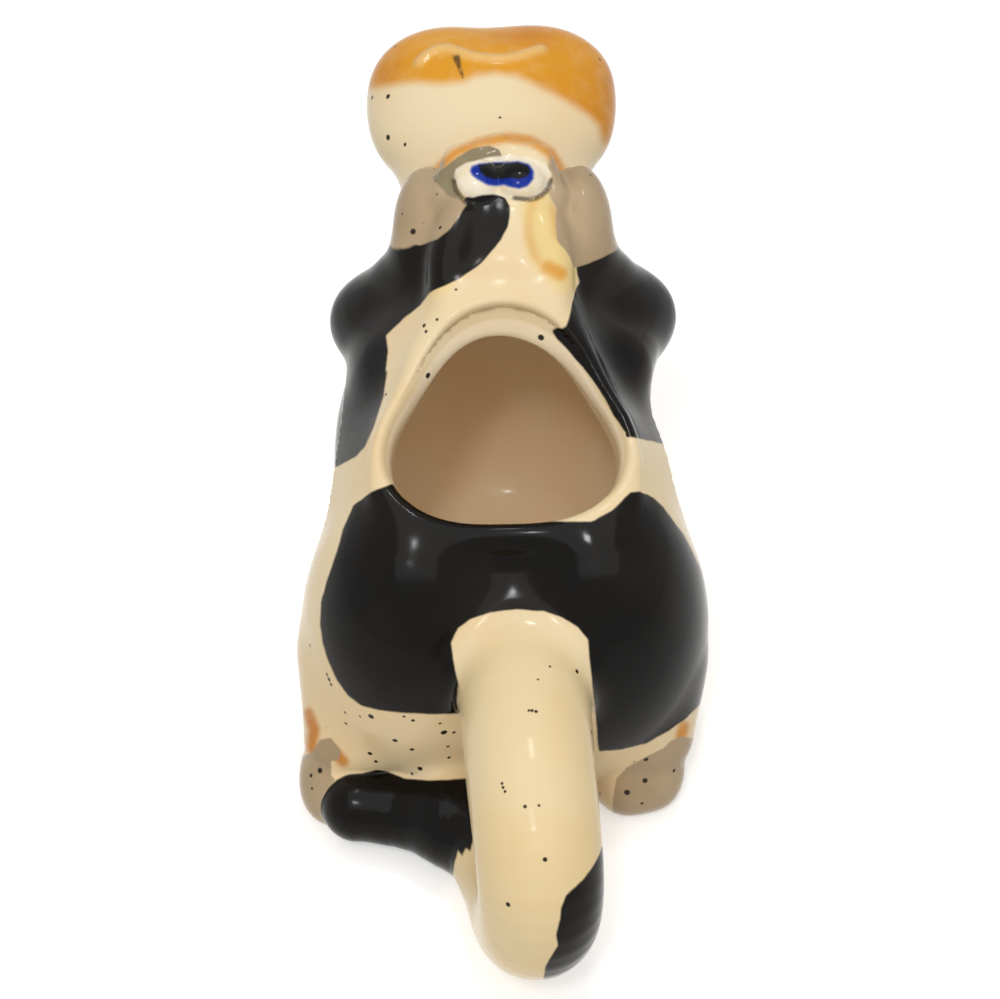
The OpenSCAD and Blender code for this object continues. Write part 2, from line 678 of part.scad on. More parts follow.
// Tail: a smooth curve through its route, with a frame carried along it
tail_route = [for (i = [0:len(tail_route_shares) - 1])
    let (s = tail_route_shares[i], reach = mix(body_l - tail_tuck, tail_reach, tail_bend_shares[i]))
    [s.x * reach, s.y * reach, s.z * tail_z]];
function curve(points, s) =
    let (last = len(points) - 1, i = min(floor(s), last - 1), t = s - i,
         a = points[max(i - 1, 0)], b = points[i], c = points[i + 1], d = points[min(i + 2, last)])
    (b * 2 + (c - a) * t + (a * 2 - b * 5 + c * 4 - d) * t * t + (b * 3 - a - c * 3 + d) * t * t * t) / 2;
tail_spots = [for (j = [0:tail_rings]) curve(tail_route, (len(tail_route) - 1) * j / tail_rings)];
tail_ways = [for (j = [0:tail_rings])
    unit(tail_spots[min(j + 1, tail_rings)] - tail_spots[max(j - 1, 0)])];
function carried(ways, j) =
    j == 0 ? square_off([1, 0, 0], ways[0]) : square_off(carried(ways, j - 1), ways[j]);
function tail_radius(j) =
    let (t = j / tail_rings)
    tail_d / 2 * (mix(1, tail_end_d_share, t) + tail_flare_share * pow(1 - t, tail_flare_end));

module tail_handle() {
    skin = function(p) body_at(p) - lute;
    ring = function(j)
        let (u = carried(tail_ways, j), v = cross(tail_ways[j], u))
        [for (i = [0:tail_sides - 1])
            let (round = -360 * i / tail_sides)
            tail_spots[j] + (u * cos(round) + v * sin(round)) * tail_radius(j)];
    root = [for (p = ring(0)) leave(skin, p, tail_ways[0], 0, tail_reach / 2)];
    // Rings that lie behind the whole of the root
    clear = max([for (p = root) (p - tail_spots[0]) * tail_ways[0]]) + lute;
    behind = function(j)
        j > tail_rings * tail_root_share || (tail_spots[j] - tail_spots[0]) * tail_ways[0] > clear;
    color(cream)
    closed_skin(
        concat([root], [for (j = [1:tail_rings]) if (behind(j)) ring(j)]),
        leave(skin, tail_spots[0], tail_ways[0], 0, tail_reach / 2),
        tail_spots[tail_rings]);
}

// Tuft: a brush with a waist, lying along the ground beside the left hind hoof
tuft_from = tail_spots[tail_rings];
tuft_waist = tuft_from + tuft_waist_share * tuft_l;
tuft_tip = tuft_from + tuft_tip_share * tuft_l;
tuft_waist_r = tail_d * tuft_waist_d_share / 2;
tuft_tip_r = tail_d * tuft_tip_d_share / 2;
function tuft_form(p) = blend(
    capsule(p, tuft_from, tuft_waist, tail_radius(tail_rings), tuft_waist_r),
    capsule(p, tuft_waist, tuft_tip, tuft_waist_r, tuft_tip_r), leg_blend);
module tail_tuft() {
    along = tail_ways[tail_rings];
    start = tuft_from + along * lute;
    seated = function(p) max(tuft_form(p), lute - body_at(p), limb_seam - hind_leg_form(p, -1), -p.z);
    u = carried(tail_ways, tail_rings);
    v = cross(along, u);
    spot = function(t) t < 0.5 ? mix(start, tuft_waist, t * 2) : mix(tuft_waist, tuft_tip, t * 2 - 1);
    rings = [for (j = [0:limb_rings])
        let (t = j / limb_rings, lean = tuft_lean * max(0, t * 2 - 1))
        [for (i = [0:tail_sides - 1])
            let (round = -360 * i / tail_sides, out = u * cos(round) + v * sin(round))
            leave(seated, spot(t), out * cos(lean) + along * sin(lean), 0, tuft_l)]];
    color(black)
    closed_skin(rings, start, leave(seated, tuft_tip, along, 0, tuft_l));
}

body_shell();
base_pad();
head();
muzzle();
eyeball(-1);  // left_eyeball
eyeball(1);  // right_eyeball
eyelid(-1, olive);  // left_eyelid
eyelid(1, yellow);  // right_eyelid
ear(-1, black);  // left_ear
ear(1, yellow);  // right_ear
foreleg(-1);  // left_foreleg
foreleg(1);  // right_foreleg
fore_hoof(-1);  // left_fore_hoof
fore_hoof(1);  // right_fore_hoof
hind_leg(-1);  // left_hind_leg
hind_leg(1);  // right_hind_leg
hind_hoof(-1);  // left_hind_hoof
hind_hoof(1);  // right_hind_hoof
tail_handle();
tail_tuft();
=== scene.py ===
"""Looks of the cow creamer: one glazed skin, computed from soft forms and cut into its luted pieces.

Forms are fields in millimetres: negative inside, zero on the skin, and about the distance near it.
Pixels are those of the photograph, which is 1000 x 999.
"""
import math

import bpy
import numpy as np
from mathutils import Matrix, Vector


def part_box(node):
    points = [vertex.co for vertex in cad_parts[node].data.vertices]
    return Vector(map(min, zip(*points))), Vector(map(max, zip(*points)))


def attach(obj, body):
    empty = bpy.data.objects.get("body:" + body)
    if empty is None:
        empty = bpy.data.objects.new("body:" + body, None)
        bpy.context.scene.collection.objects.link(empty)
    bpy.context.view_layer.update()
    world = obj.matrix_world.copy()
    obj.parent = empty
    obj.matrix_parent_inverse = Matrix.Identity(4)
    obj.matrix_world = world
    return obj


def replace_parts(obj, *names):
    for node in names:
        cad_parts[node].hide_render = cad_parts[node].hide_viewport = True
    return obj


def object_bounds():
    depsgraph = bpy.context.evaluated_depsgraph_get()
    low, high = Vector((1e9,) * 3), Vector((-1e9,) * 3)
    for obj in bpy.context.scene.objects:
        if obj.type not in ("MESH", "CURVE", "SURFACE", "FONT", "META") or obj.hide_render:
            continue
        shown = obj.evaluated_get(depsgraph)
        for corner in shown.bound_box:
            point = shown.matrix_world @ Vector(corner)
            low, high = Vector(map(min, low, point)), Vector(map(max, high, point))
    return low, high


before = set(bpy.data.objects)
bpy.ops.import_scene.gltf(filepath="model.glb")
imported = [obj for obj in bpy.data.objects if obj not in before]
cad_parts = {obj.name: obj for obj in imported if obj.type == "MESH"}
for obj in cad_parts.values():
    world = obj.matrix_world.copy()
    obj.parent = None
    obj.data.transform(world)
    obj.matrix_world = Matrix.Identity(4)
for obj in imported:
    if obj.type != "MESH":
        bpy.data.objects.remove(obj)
CAD_BOX = [list(corner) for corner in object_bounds()]

MM = 0.001
FAR = 1000.0
TINY = 1e-9

# ---- Sizes in millimetres --------------------------------------------------------------------
# They are those of the part's source, but for the slope and joint of the rim, the depth of the throat, the
# sides of the muzzle, the toes of the hind hooves, the taper of tail and tuft, and the fillets between
# the pieces, which the separate solids can't have.
BODY = np.array([82.0, 88.0, 88.0])
WALL, FLOOR_T, PAD_H = 4.0, 5.0, 1.5
OPENING_W, OPENING_L, OPENING_TILT = 42.0, 36.0, math.radians(33)
HEAD = np.array([33.0, 34.0, 32.0])
HEAD_AT = np.array([-0.8, 35.0, 86.0])
MUZZLE = np.array([51.0, 37.0, 31.0])
PASSAGE_R = 7.5
MOUTH_W, MOUTH_H, MOUTH_PITCH = 25.0, 15.0, math.radians(-18)
MOUTH_AHEAD, MOUTH_REACH = 0.6, 0.5
NECK_START = (0, 0.30, 0.74)
EYE_D, LID_T = 11.0, 3.0
EAR_L, EAR_W = 19.0, 6.5
TAIL_D, TAIL_Z, TAIL_REACH, TUFT_L = 24.0, 41.0, 85.0, 28.0
FORELEG_D, FORE_HOOF_D, FORE_HOOF_L = 18.0, 18.0, 17.0
HIND_LEG_D, HIND_HOOF_L, HIND_HOOF_W, HIND_HOOF_H = 20.0, 22.0, 19.0, 12.5

# Swells: middle and half size, as shares of the piece's size
BODY_SWELLS = [((-0.222, -0.245, 0.33), (0.29, 0.30, 0.46)), ((0.205, -0.245, 0.33), (0.285, 0.30, 0.46)),
               ((-0.01, 0.06, 0.32), (0.37, 0.44, 0.45)), ((-0.045, 0.15, 0.58), (0.37, 0.27, 0.42))]
HEAD_SWELLS = [((0, 0, 0), (0.50, 0.50, 0.50)), ((-0.015, 0.50, 0.02), (0.585, 0.47, 0.43)),
               ((0, -0.36, -0.30), (0.60, 0.48, 0.56))]
MUZZLE_SWELLS = [((0, 0, 0), (0.48, 0.46, 0.47)), ((-0.21, 0.165, 0.06), (0.265, 0.29, 0.36)),
                 ((0.22, 0.17, 0.06), (0.265, 0.29, 0.36)), ((0, -0.20, 0), (0.455, 0.42, 0.40))]
MUZZLE_AT = HEAD_AT + HEAD * (-0.02, 1.035, 0.07)
OPENING_AT = BODY * (-0.008, -0.122, 0.86)
OPENING_UP = np.array([0, math.cos(OPENING_TILT), math.sin(OPENING_TILT)])
OPENING_OUT = np.array([0, -math.sin(OPENING_TILT), math.cos(OPENING_TILT)])
CORNER_SHARE = 0.10
LIP_SIDE_SHARE, RIM_RISE, COLLAR_DEEP, COLLAR_SLOPE, THROAT_DEEP = 0.65, 1.0, 16.0, 0.35, 22.0
# The lip slopes in from its ridge: how wide the slope is at the sides, what the head's side adds, and its depth
FLARE_SIDE, FLARE_HEAD, FLARE_DEEP = 1.4, 2.2, 3.2
# Where the slope begins on the way from the tail to the head, the span in which it grows, and its curve
FLARE_BELOW, FLARE_SPAN, FLARE_LIMIT, FLARE_POWER = 0.6, 0.8, 1.3, 1.5
# Softness of the rim's joint to the body, and how much it grows where the rim flares
RIM_SOFT, FLARE_SOFT = 7.0, 1.0
# Softness of the joints inside one piece, and of the edges that are cut back
BODY_SOFT, HEAD_SOFT, MUZZLE_SOFT, FLOOR_SOFT, LEG_SOFT, TUFT_SOFT = 14.0, 9.0, 8.0, 5.0, 5.0, 5.0
FORE_TOE_SOFT, HIND_TOE_SOFT, SOLE_SOFT = 1.5, 9.0, 1.5
COLLAR_SOFT, BEAD_SOFT, THROAT_SOFT, NECK_SOFT, MOUTH_SOFT, LIP_SOFT = 3.0, 1.5, 4.0, 3.0, 2.0, 1.6
EYE_PLACE = (0.125, -0.045, 0.43)
LIDS = [(0.02, 0.17, 0.51), (0.22, 0.10, 0.49), (0.345, -0.08, 0.40)]
EAR_ROOT, EAR_TIP = (0.22, -0.16, 0.41), (0.35, -0.62, 0.17)
TAIL_ROUTE = [(0.02, -0.40, 1.00), (0.025, -0.60, 1.08), (0.032, -0.79, 1.08), (0.045, -0.95, 0.93),
              (0.045, -1.00, 0.68), (0.025, -0.94, 0.42), (-0.005, -0.81, 0.29), (-0.06, -0.695, 0.25),
              (-0.155, -0.63, 0.24)]
TAIL_SPOTS = 40
# How much of its thickness the tail keeps at its end, and how much it gains at its root
TAIL_END_SHARE, TAIL_ROOT_GAIN, TAIL_ROOT_POWER = 0.78, 0.12, 8
TUFT_BENDS = [(-0.34, 0.11, -0.04), (-0.65, 0.16, -0.05)]
TUFT_WAIST, TUFT_TIP = 0.53, 0.62
SHOULDER, ELBOW, WRIST, HOOF_TIP = (0.25, 0.16, 0.80), (0.308, 0.34, 0.76), (0.16, 0.305, 0.97), (0.142, 0.455, 1.10)
HIPS = {-1: (-0.39, -0.30, 0.32), 1: (0.342, -0.32, 0.28)}
ANKLES = {-1: (-0.395, -0.41, 0.16), 1: (0.332, -0.41, 0.15)}
HIND_HOOVES = {-1: (-0.403, -0.45, 0), 1: (0.304, -0.43, 0)}
HIND_TOE_TURN = math.radians(12)
# Half sizes of a toe as shares of its hoof, and how far the two toes lie apart
FORE_TOE, HIND_TOE, TOE_GAP = np.array([0.31, 0.46, 0.66]), np.array([0.35, 0.75, 0.50]), 0.20
FORE_TOE_MIDDLE = 0.45

# ---- Camera of the photograph ----------------------------------------------------------------
ELEVATION, AZIMUTH, DISTANCE, FOCAL_PX = math.radians(50), math.radians(-1.5), 430.0, 2107.0
TARGET = np.array([0.0, 0.0, 45.0])
AXIS_PX = np.array([507.0, 500.0])
PHOTO_W = 1000
SENSOR_MM = 36.0
BACK = np.array([math.sin(AZIMUTH) * math.cos(ELEVATION), -math.cos(AZIMUTH) * math.cos(ELEVATION),
                 math.sin(ELEVATION)])
CAMERA = TARGET + DISTANCE * BACK
RIGHT = np.array([math.cos(AZIMUTH), math.sin(AZIMUTH), 0.0])
UP = np.cross(RIGHT, -BACK)


def to_pixels(p):
    """Where the photograph's camera sees the points."""
    q = p - CAMERA
    depth = -(q @ BACK)
    return np.stack([AXIS_PX[0] + FOCAL_PX * (q @ RIGHT) / depth, AXIS_PX[1] - FOCAL_PX * (q @ UP) / depth], -1)


# ---- Fields ----------------------------------------------------------------------------------
def unit(v):
    return np.asarray(v, float) / np.linalg.norm(v)


def ball(p, middle, half, axes=None):
    """An ellipsoid with its half sizes along the axes."""
    q = p - middle
    if axes is not None:
        q = q @ np.array(axes).T
    a = np.sqrt(((q / half) ** 2).sum(1))
    b = np.sqrt(((q / np.square(half)) ** 2).sum(1)) + TINY
    return a * (a - 1) / b


def capsule(p, a, b, ra, rb):
    """A round limb from one point and radius to another."""
    a, b = np.asarray(a, float), np.asarray(b, float)
    t = np.clip((p - a) @ (b - a) / ((b - a) @ (b - a)), 0, 1)
    return np.sqrt(((p - a - t[:, None] * (b - a)) ** 2).sum(1)) - ra - (rb - ra) * t


def blend(a, b, soft):
    """Two forms joined by a fillet."""
    h = np.maximum(soft - np.abs(a - b), 0)
    return np.minimum(a, b) - h * h / soft / 4


def cut_back(a, b, soft):
    """What two forms share, with a rounded edge."""
    return -blend(-a, -b, soft)


def swell(p, swells, at, size, soft):
    """Ellipsoids placed in a piece's size and blended into one soft form."""
    out = None
    for middle, half in swells:
        f = ball(p, at + size * middle, size * half)
        out = f if out is None else blend(out, f, soft)
    return out


def body_form(p):
    return swell(p, BODY_SWELLS, np.zeros(3), BODY, BODY_SOFT)


def body_at(p):
    """The body, flat underneath where the pad is."""
    return cut_back(body_form(p), PAD_H - p[:, 2], FLOOR_SOFT)


def head_form(p):
    return swell(p, HEAD_SWELLS, HEAD_AT, HEAD, HEAD_SOFT)


def muzzle_form(p):
    return swell(p, MUZZLE_SWELLS, MUZZLE_AT, MUZZLE, MUZZLE_SOFT)


def sided(share, side):
    """A place given for the right side (1), mirrored for the left side (-1)."""
    return np.array([share[0] * side, share[1], share[2]])


def eye_at(side):
    return HEAD_AT + HEAD * sided(EYE_PLACE, side)


def eye_form(p, side):
    return np.sqrt(((p - eye_at(side)) ** 2).sum(1)) - EYE_D / 2


def lid_form(p, side):
    a, b, c = [HEAD_AT + HEAD * sided(s, side) for s in LIDS]
    return blend(capsule(p, a, b, LID_T, LID_T), capsule(p, b, c, LID_T, LID_T / 2), LID_T)


def ear_form(p, side):
    root, tip = [HEAD_AT + HEAD * sided(s, side) for s in (EAR_ROOT, EAR_TIP)]
    along, middle = unit(tip - root), (root + tip) / 2
    out = middle - HEAD_AT
    out = unit(out - along * (out @ along))
    return ball(p, middle, np.array([EAR_W / 2, EAR_W / 2, EAR_L / 2]), [np.cross(out, along), out, along])


def foreleg_form(p, side):
    shoulder, elbow, wrist = [BODY * sided(s, side) for s in (SHOULDER, ELBOW, WRIST)]
    r = FORELEG_D / 2
    return blend(capsule(p, shoulder, elbow, r, r), capsule(p, elbow, wrist, r, FORE_HOOF_D / 2), LEG_SOFT)


def toes(p, middle, along, split, half, gap, soft):
    """Two toes side by side across the way that the hoof points."""
    axes = [split, np.cross(along, split), along]
    return blend(ball(p, middle - split * gap, half, axes), ball(p, middle + split * gap, half, axes), soft)


def fore_hoof_form(p, side):
    wrist, tip = [BODY * sided(s, side) for s in (WRIST, HOOF_TIP)]
    along = unit(tip - wrist)
    split = unit(np.array([1.0, 0, 0]) - along * along[0])
    half = FORE_TOE * (FORE_HOOF_D, FORE_HOOF_D, FORE_HOOF_L)
    middle = wrist + along * FORE_HOOF_L * FORE_TOE_MIDDLE
    return toes(p, middle, along, split, half, FORE_HOOF_D * TOE_GAP, FORE_TOE_SOFT)


def hind_leg_form(p, side):
    return capsule(p, BODY * HIPS[side], BODY * ANKLES[side], HIND_LEG_D / 2, HIND_LEG_D / 2)


def hind_hoof_form(p, side):
    along = np.array([math.sin(HIND_TOE_TURN) * side, -math.cos(HIND_TOE_TURN), 0])
    half = HIND_TOE * (HIND_HOOF_W, HIND_HOOF_H, HIND_HOOF_L)
    middle = BODY * HIND_HOOVES[side] + (0, 0, HIND_HOOF_H / 2)
    split = np.array([-along[1], along[0], 0])
    f = toes(p, middle, along, split, half, HIND_HOOF_W * TOE_GAP, HIND_TOE_SOFT)
    return cut_back(f, -p[:, 2], SOLE_SOFT)


def curve(points, count):
    """A smooth curve through the points, in even steps of its parameter."""
    points, out = np.asarray(points), []
    last = len(points) - 1
    for s in np.linspace(0, last, count + 1):
        i = min(int(s), last - 1)
        t = s - i
        a, b, c, d = points[max(i - 1, 0)], points[i], points[i + 1], points[min(i + 2, last)]
        out.append((b * 2 + (c - a) * t + (a * 2 - b * 5 + c * 4 - d) * t * t
                    + (b * 3 - a - c * 3 + d) * t ** 3) / 2)
    return np.array(out)


TAIL = curve(np.array(TAIL_ROUTE) * (TAIL_REACH, TAIL_REACH, TAIL_Z), TAIL_SPOTS)
TAIL_T = np.linspace(0, 1, TAIL_SPOTS + 1)
TAIL_R = TAIL_D / 2 * (1 + (TAIL_END_SHARE - 1) * TAIL_T ** 2 + TAIL_ROOT_GAIN * (1 - TAIL_T) ** TAIL_ROOT_POWER)
TUFT = [TAIL[-1]] + [TAIL[-1] + np.array(bend) * TUFT_L for bend in TUFT_BENDS]


def tail_form(p):
    out = np.full(len(p), FAR)
    for j in range(TAIL_SPOTS):
        out = np.minimum(out, capsule(p, TAIL[j], TAIL[j + 1], TAIL_R[j], TAIL_R[j + 1]))
    return out


def tuft_form(p):
    waist_r, tip_r = TAIL_D * TUFT_WAIST / 2, TAIL_D * TUFT_TIP / 2
    return blend(capsule(p, TUFT[0], TUFT[1], TAIL_R[-1], waist_r), capsule(p, TUFT[1], TUFT[2], waist_r, tip_r),
                 TUFT_SOFT)


# Rim: the opening's outline in its own plane, the collar that carries it and the rolled bead round it
def in_rim(p):
    """How far a point is outside the outline and above its plane, and how wide the rim and its slope are there."""
    q = p - OPENING_AT
    x, y = q[:, 0], q @ OPENING_UP
    turn = np.arctan2(y / OPENING_L, x / OPENING_W)
    reach = 1 + CORNER_SHARE * np.cos(3 * (turn - math.pi / 2))
    rho = 2 * np.hypot(x / OPENING_W, y / OPENING_L)
    up = np.sin(turn)
    flare = FLARE_SIDE * np.clip((up + FLARE_BELOW) / FLARE_SPAN, 0, 1) + FLARE_HEAD * np.maximum(up, 0) ** 4
    return ((rho / reach - 1) * (OPENING_W + OPENING_L) / 4, q @ OPENING_OUT,
            WALL * np.hypot(LIP_SIDE_SHARE * np.cos(turn), up), flare)


def bead_form(p):
    flat, high, wide, flare = in_rim(p)
    return np.hypot(flat - flare - wide * 0.5, high + wide * 0.5 - RIM_RISE) - wide * 0.5


def collar_form(p):
    flat, high, wide, flare = in_rim(p)
    side = flat - flare - wide + COLLAR_SLOPE * np.minimum(high, 0)
    return np.maximum(cut_back(side, high, COLLAR_SOFT), -high - COLLAR_DEEP)


def hollow_form(p):
    """The room inside, from the opening through the neck to the mouth."""
    room = cut_back(body_form(p) + WALL, PAD_H + FLOOR_T - p[:, 2], FLOOR_SOFT)
    flat, high, _, flare = in_rim(p)
    slope = flare * np.clip((high + FLARE_DEEP) / FLARE_DEEP, 0, FLARE_LIMIT) ** FLARE_POWER
    room = blend(room, np.maximum(flat - slope, -high - THROAT_DEEP), THROAT_SOFT)
    neck = np.minimum(capsule(p, BODY * NECK_START, HEAD_AT, PASSAGE_R, PASSAGE_R + 1),
                      capsule(p, HEAD_AT, MUZZLE_AT, PASSAGE_R + 1, PASSAGE_R))
    room = blend(room, neck, NECK_SOFT)
    room = blend(room, muzzle_form(p) + WALL, NECK_SOFT)
    ahead = (0, math.cos(MOUTH_PITCH), math.sin(MOUTH_PITCH))
    lips = ball(p, MUZZLE_AT + np.array(ahead) * MUZZLE[1] * MOUTH_AHEAD,
                np.array([MOUTH_W / 2, MUZZLE[1] * MOUTH_REACH, MOUTH_H / 2]),
                [(1, 0, 0), ahead, (0, -ahead[2], ahead[1])])
    return blend(room, lips, MOUTH_SOFT)


# Pieces: name, field, softness of the joint to what came before, and the record's slot
PIECES = [("body_shell", body_at, 0, "body_glaze"), ("head", head_form, 9.0, "cream_glaze"),
          ("muzzle", muzzle_form, 4.0, "muzzle_glaze")]
for side, word in ((-1, "left"), (1, "right")):
    def of(form, side=side):
        return lambda p: form(p, side)
    PIECES += [(word + "_foreleg", of(foreleg_form), 4.0, "black_glaze"),
               (word + "_fore_hoof", of(fore_hoof_form), 3.0, "hoof_glaze"),
               (word + "_ear", of(ear_form), 4.5, "black_glaze" if side < 0 else "yellow_glaze"),
               (word + "_eyelid", of(lid_form), 3.0, "olive_glaze" if side < 0 else "yellow_glaze"),
               (word + "_eyeball", of(eye_form), 0.8, "eye_glaze"),
               (word + "_hind_leg", of(hind_leg_form), 5.0, "cream_glaze"),
               (word + "_hind_hoof", of(hind_hoof_form), 1.2, "hoof_glaze")]
PIECES += [("tail_handle", tail_form, 6.0, "cream_glaze"), ("tail_tuft", tuft_form, 1.0, "black_glaze")]
FORMS = {name: form for name, form, _, _ in PIECES}
BOXES = {name: [np.array(c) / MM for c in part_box(name)] for name in FORMS}
# How far past the box of its CAD node a piece's field is worked out
NEAR = 18.0


def part_field(name, p):
    """A piece's field, worked out only near the box of its CAD node."""
    if name == "body_shell":
        return FORMS[name](p)
    low, high = BOXES[name]
    near = ((p > low - NEAR) & (p < high + NEAR)).all(1)
    out = np.full(len(p), FAR)
    if near.any():
        out[near] = FORMS[name](p[near])
    return out


def outside_form(p):
    """All pieces and the rim, joined by fillets and cut off at the table."""
    out = None
    for name, _, soft, _ in PIECES:
        f = part_field(name, p)
        out = f if out is None else blend(out, f, soft)
    rim = blend(collar_form(p), bead_form(p), BEAD_SOFT)
    out = blend(out, rim, RIM_SOFT + FLARE_SOFT * in_rim(p)[3])
    return np.maximum(out, -p[:, 2])


def creamer(p):
    return cut_back(outside_form(p), -hollow_form(p), LIP_SOFT)


# ---- Skin: a net of quads on the zero of a field ---------------------------------------------
STEP = 0.7
# Cells along a side of a rough block, the blocks that count as near the skin, and the points worked out at a time
BLOCK, NEAR_BLOCKS, BATCH = 4, 1.5, 200000
# The fewest faces that a patch of a piece may have, and the rounds in which smaller ones are given away
ISLAND, ISLAND_ROUNDS = 60, 4


def lattice(field, low, high):
    """Field values on a lattice, exact near the skin and only of the right sign elsewhere."""
    count = np.ceil((high - low) / STEP / BLOCK).astype(int) * BLOCK
    axes = [low[k] + STEP * np.arange(count[k]) for k in range(3)]
    rough_axes = [a[::BLOCK] + STEP * (BLOCK - 1) / 2 for a in axes]
    grid = np.stack(np.meshgrid(*rough_axes, indexing="ij"), -1).reshape(-1, 3)
    rough = field(grid).reshape([len(a) for a in rough_axes])
    fine = rough.astype(np.float32)
    for k in range(3):
        fine = np.repeat(fine, BLOCK, axis=k)
    near = np.abs(fine) < STEP * BLOCK * NEAR_BLOCKS
    spots = np.argwhere(near)
    values = np.empty(len(spots), np.float32)
    for i in range(0, len(spots), BATCH):
        values[i:i + BATCH] = field(low + STEP * spots[i:i + BATCH])
    fine[near] = values
    return fine, low


def net(field, low, high):
    """One point in each cell that the skin crosses, and a quad for each lattice edge that it crosses."""
    d, low = lattice(field, low, high)
    inside = d < 0
    n = np.array(d.shape)
    corners = [(i, j, k) for i in (0, 1) for j in (0, 1) for k in (0, 1)]

    def corner(a, c):
        return a[c[0]:n[0] - 1 + c[0], c[1]:n[1] - 1 + c[1], c[2]:n[2] - 1 + c[2]]
    total = sum(corner(inside, c).astype(np.int8) for c in corners)
    mixed = (total > 0) & (total < 8)
    number = np.full(mixed.shape, -1, np.int64)
    number[mixed] = np.arange(mixed.sum())
    cells = np.argwhere(mixed)
    at, hits = np.zeros((len(cells), 3)), np.zeros(len(cells))
    for a in corners:
        for k in range(3):
            if a[k]:
                continue
            b = list(a)
            b[k] = 1
            da, db = d[tuple((cells + a).T)], d[tuple((cells + b).T)]
            cross = (da < 0) != (db < 0)
            t = np.where(cross, da / np.where(cross, da - db, 1), 0)
            spot = cells + a + np.eye(3)[k] * t[:, None]
            at += spot * cross[:, None]
            hits += cross
    points = low + STEP * at / hits[:, None]
    quads = []
    for k in range(3):
        u, v = (k + 1) % 3, (k + 2) % 3
        here = np.moveaxis(inside, (k, u, v), (0, 1, 2))
        cell = np.moveaxis(number, (k, u, v), (0, 1, 2))
        change = here[:-1, 1:-1, 1:-1] != here[1:, 1:-1, 1:-1]
        i, j, m = np.nonzero(change)
        quad = np.stack([cell[i, j, m], cell[i, j + 1, m], cell[i, j + 1, m + 1], cell[i, j, m + 1]], 1)
        flip = ~here[:-1, 1:-1, 1:-1][i, j, m]
        quad[flip] = quad[flip][:, ::-1]
        quads.append(quad)
    return points, np.concatenate(quads)


def slope(field, p, d=0.05):
    """The field and its gradient, taken over a small way d."""
    here = field(p)
    out = np.stack([field(p + np.eye(3)[k] * d) - here for k in range(3)], -1) / d
    return here, out


LEAST_GRADIENT, LONGEST_STEP = 0.2, 0.6


def settle(field, p, times=2):
    """Moves points onto the field's skin and gives the skin's normals there."""
    for _ in range(times):
        f, g = slope(field, p)
        step = (f / np.maximum((g * g).sum(1), LEAST_GRADIENT))[:, None] * g
        size = np.linalg.norm(step, axis=1, keepdims=True)
        p = p - step * np.minimum(1, LONGEST_STEP * STEP / np.maximum(size, TINY))
    _, g = slope(field, p)
    return p, g / np.maximum(np.linalg.norm(g, axis=1, keepdims=True), TINY)


MARGIN_LOW, MARGIN_HIGH = 2, 3
points, quads = net(creamer, np.array(CAD_BOX[0]) / MM - MARGIN_LOW, np.array(CAD_BOX[1]) / MM + MARGIN_HIGH)
points, normals = settle(creamer, points)
points[:, 2] = np.maximum(points[:, 2], 0)


# ---- Paint: distances to painted edges, kept on the skin's points ----------------------------
def outline_distance(pixels, outline):
    """Distance in pixels to a closed outline, negative inside it."""
    a = np.array(outline, float)
    b = np.roll(a, -1, 0)
    near, inside = np.full(len(pixels), FAR), np.zeros(len(pixels), bool)
    for s, e in zip(a, b):
        t = np.clip((pixels - s) @ (e - s) / ((e - s) @ (e - s)), 0, 1)
        near = np.minimum(near, np.linalg.norm(pixels - s - t[:, None] * (e - s), axis=1))
        over = (s[1] > pixels[:, 1]) != (e[1] > pixels[:, 1])
        inside ^= over & (pixels[:, 0] < (e[0] - s[0]) * (pixels[:, 1] - s[1]) / (e[1] - s[1] + TINY) + s[0])
    return np.where(inside, -near, near)


PX_PER_MM = 4.9
# Outlines of painted patches in pixels
RUMP_PATCH = [(393, 484), (372, 492), (353, 506), (343, 530), (337, 552), (327, 580), (321, 602), (320, 625),
              (323, 645), (329, 664), (337, 681), (348, 696), (361, 706), (380, 711), (400, 713), (433, 715),
              (465, 714), (530, 716), (570, 735), (585, 746), (600, 752), (622, 750), (646, 744), (668, 732),
              (685, 720), (705, 700), (722, 640), (715, 600), (699, 565), (684, 535), (674, 522), (663, 507),
              (652, 497), (640, 492), (630, 493), (622, 501), (612, 511), (592, 522), (536, 522), (472, 520),
              (425, 508), (405, 494)]
TAIL_CREAM = [(466, 730), (460, 690), (453, 660), (451, 643), (458, 629), (470, 620), (490, 613), (515, 610),
              (545, 612), (562, 618), (578, 628), (588, 640), (590, 665), (594, 700), (602, 790)]
LEFT_FLANK = [(340, 372), (387, 372), (384, 395), (379, 412), (372, 432), (365, 447), (356, 457), (338, 467),
              (300, 470), (300, 372)]
RIGHT_FLANK = [(556, 279), (552, 295), (550, 312), (551, 330), (560, 345), (583, 368), (600, 391), (613, 415),
               (628, 437), (648, 441), (690, 450), (690, 300), (620, 270)]
NAPE_PATCH = [(462, 200), (468, 196), (478, 194), (488, 192), (498, 193), (506, 199), (510, 207), (510, 214),
              (508, 227), (501, 240), (495, 248), (479, 266), (458, 280), (430, 293), (420, 306), (405, 318),
              (386, 336), (388, 352), (385, 378), (300, 390), (300, 240), (430, 240), (452, 215)]
TAIL_PATCH = [(606, 845), (596, 852), (588, 862), (580, 874), (575, 885), (566, 896), (561, 908), (560, 920),
              (556, 935), (558, 946), (552, 955), (545, 968), (542, 990), (640, 990), (640, 840)]
TUFT_PATCH = [(480, 779), (476, 800), (474, 838), (470, 852), (466, 848), (462, 857), (458, 851), (455, 862),
              (452, 880), (430, 890), (300, 870), (312, 812), (320, 798), (331, 779), (345, 770), (369, 766),
              (386, 771), (405, 779), (432, 781), (465, 779)]
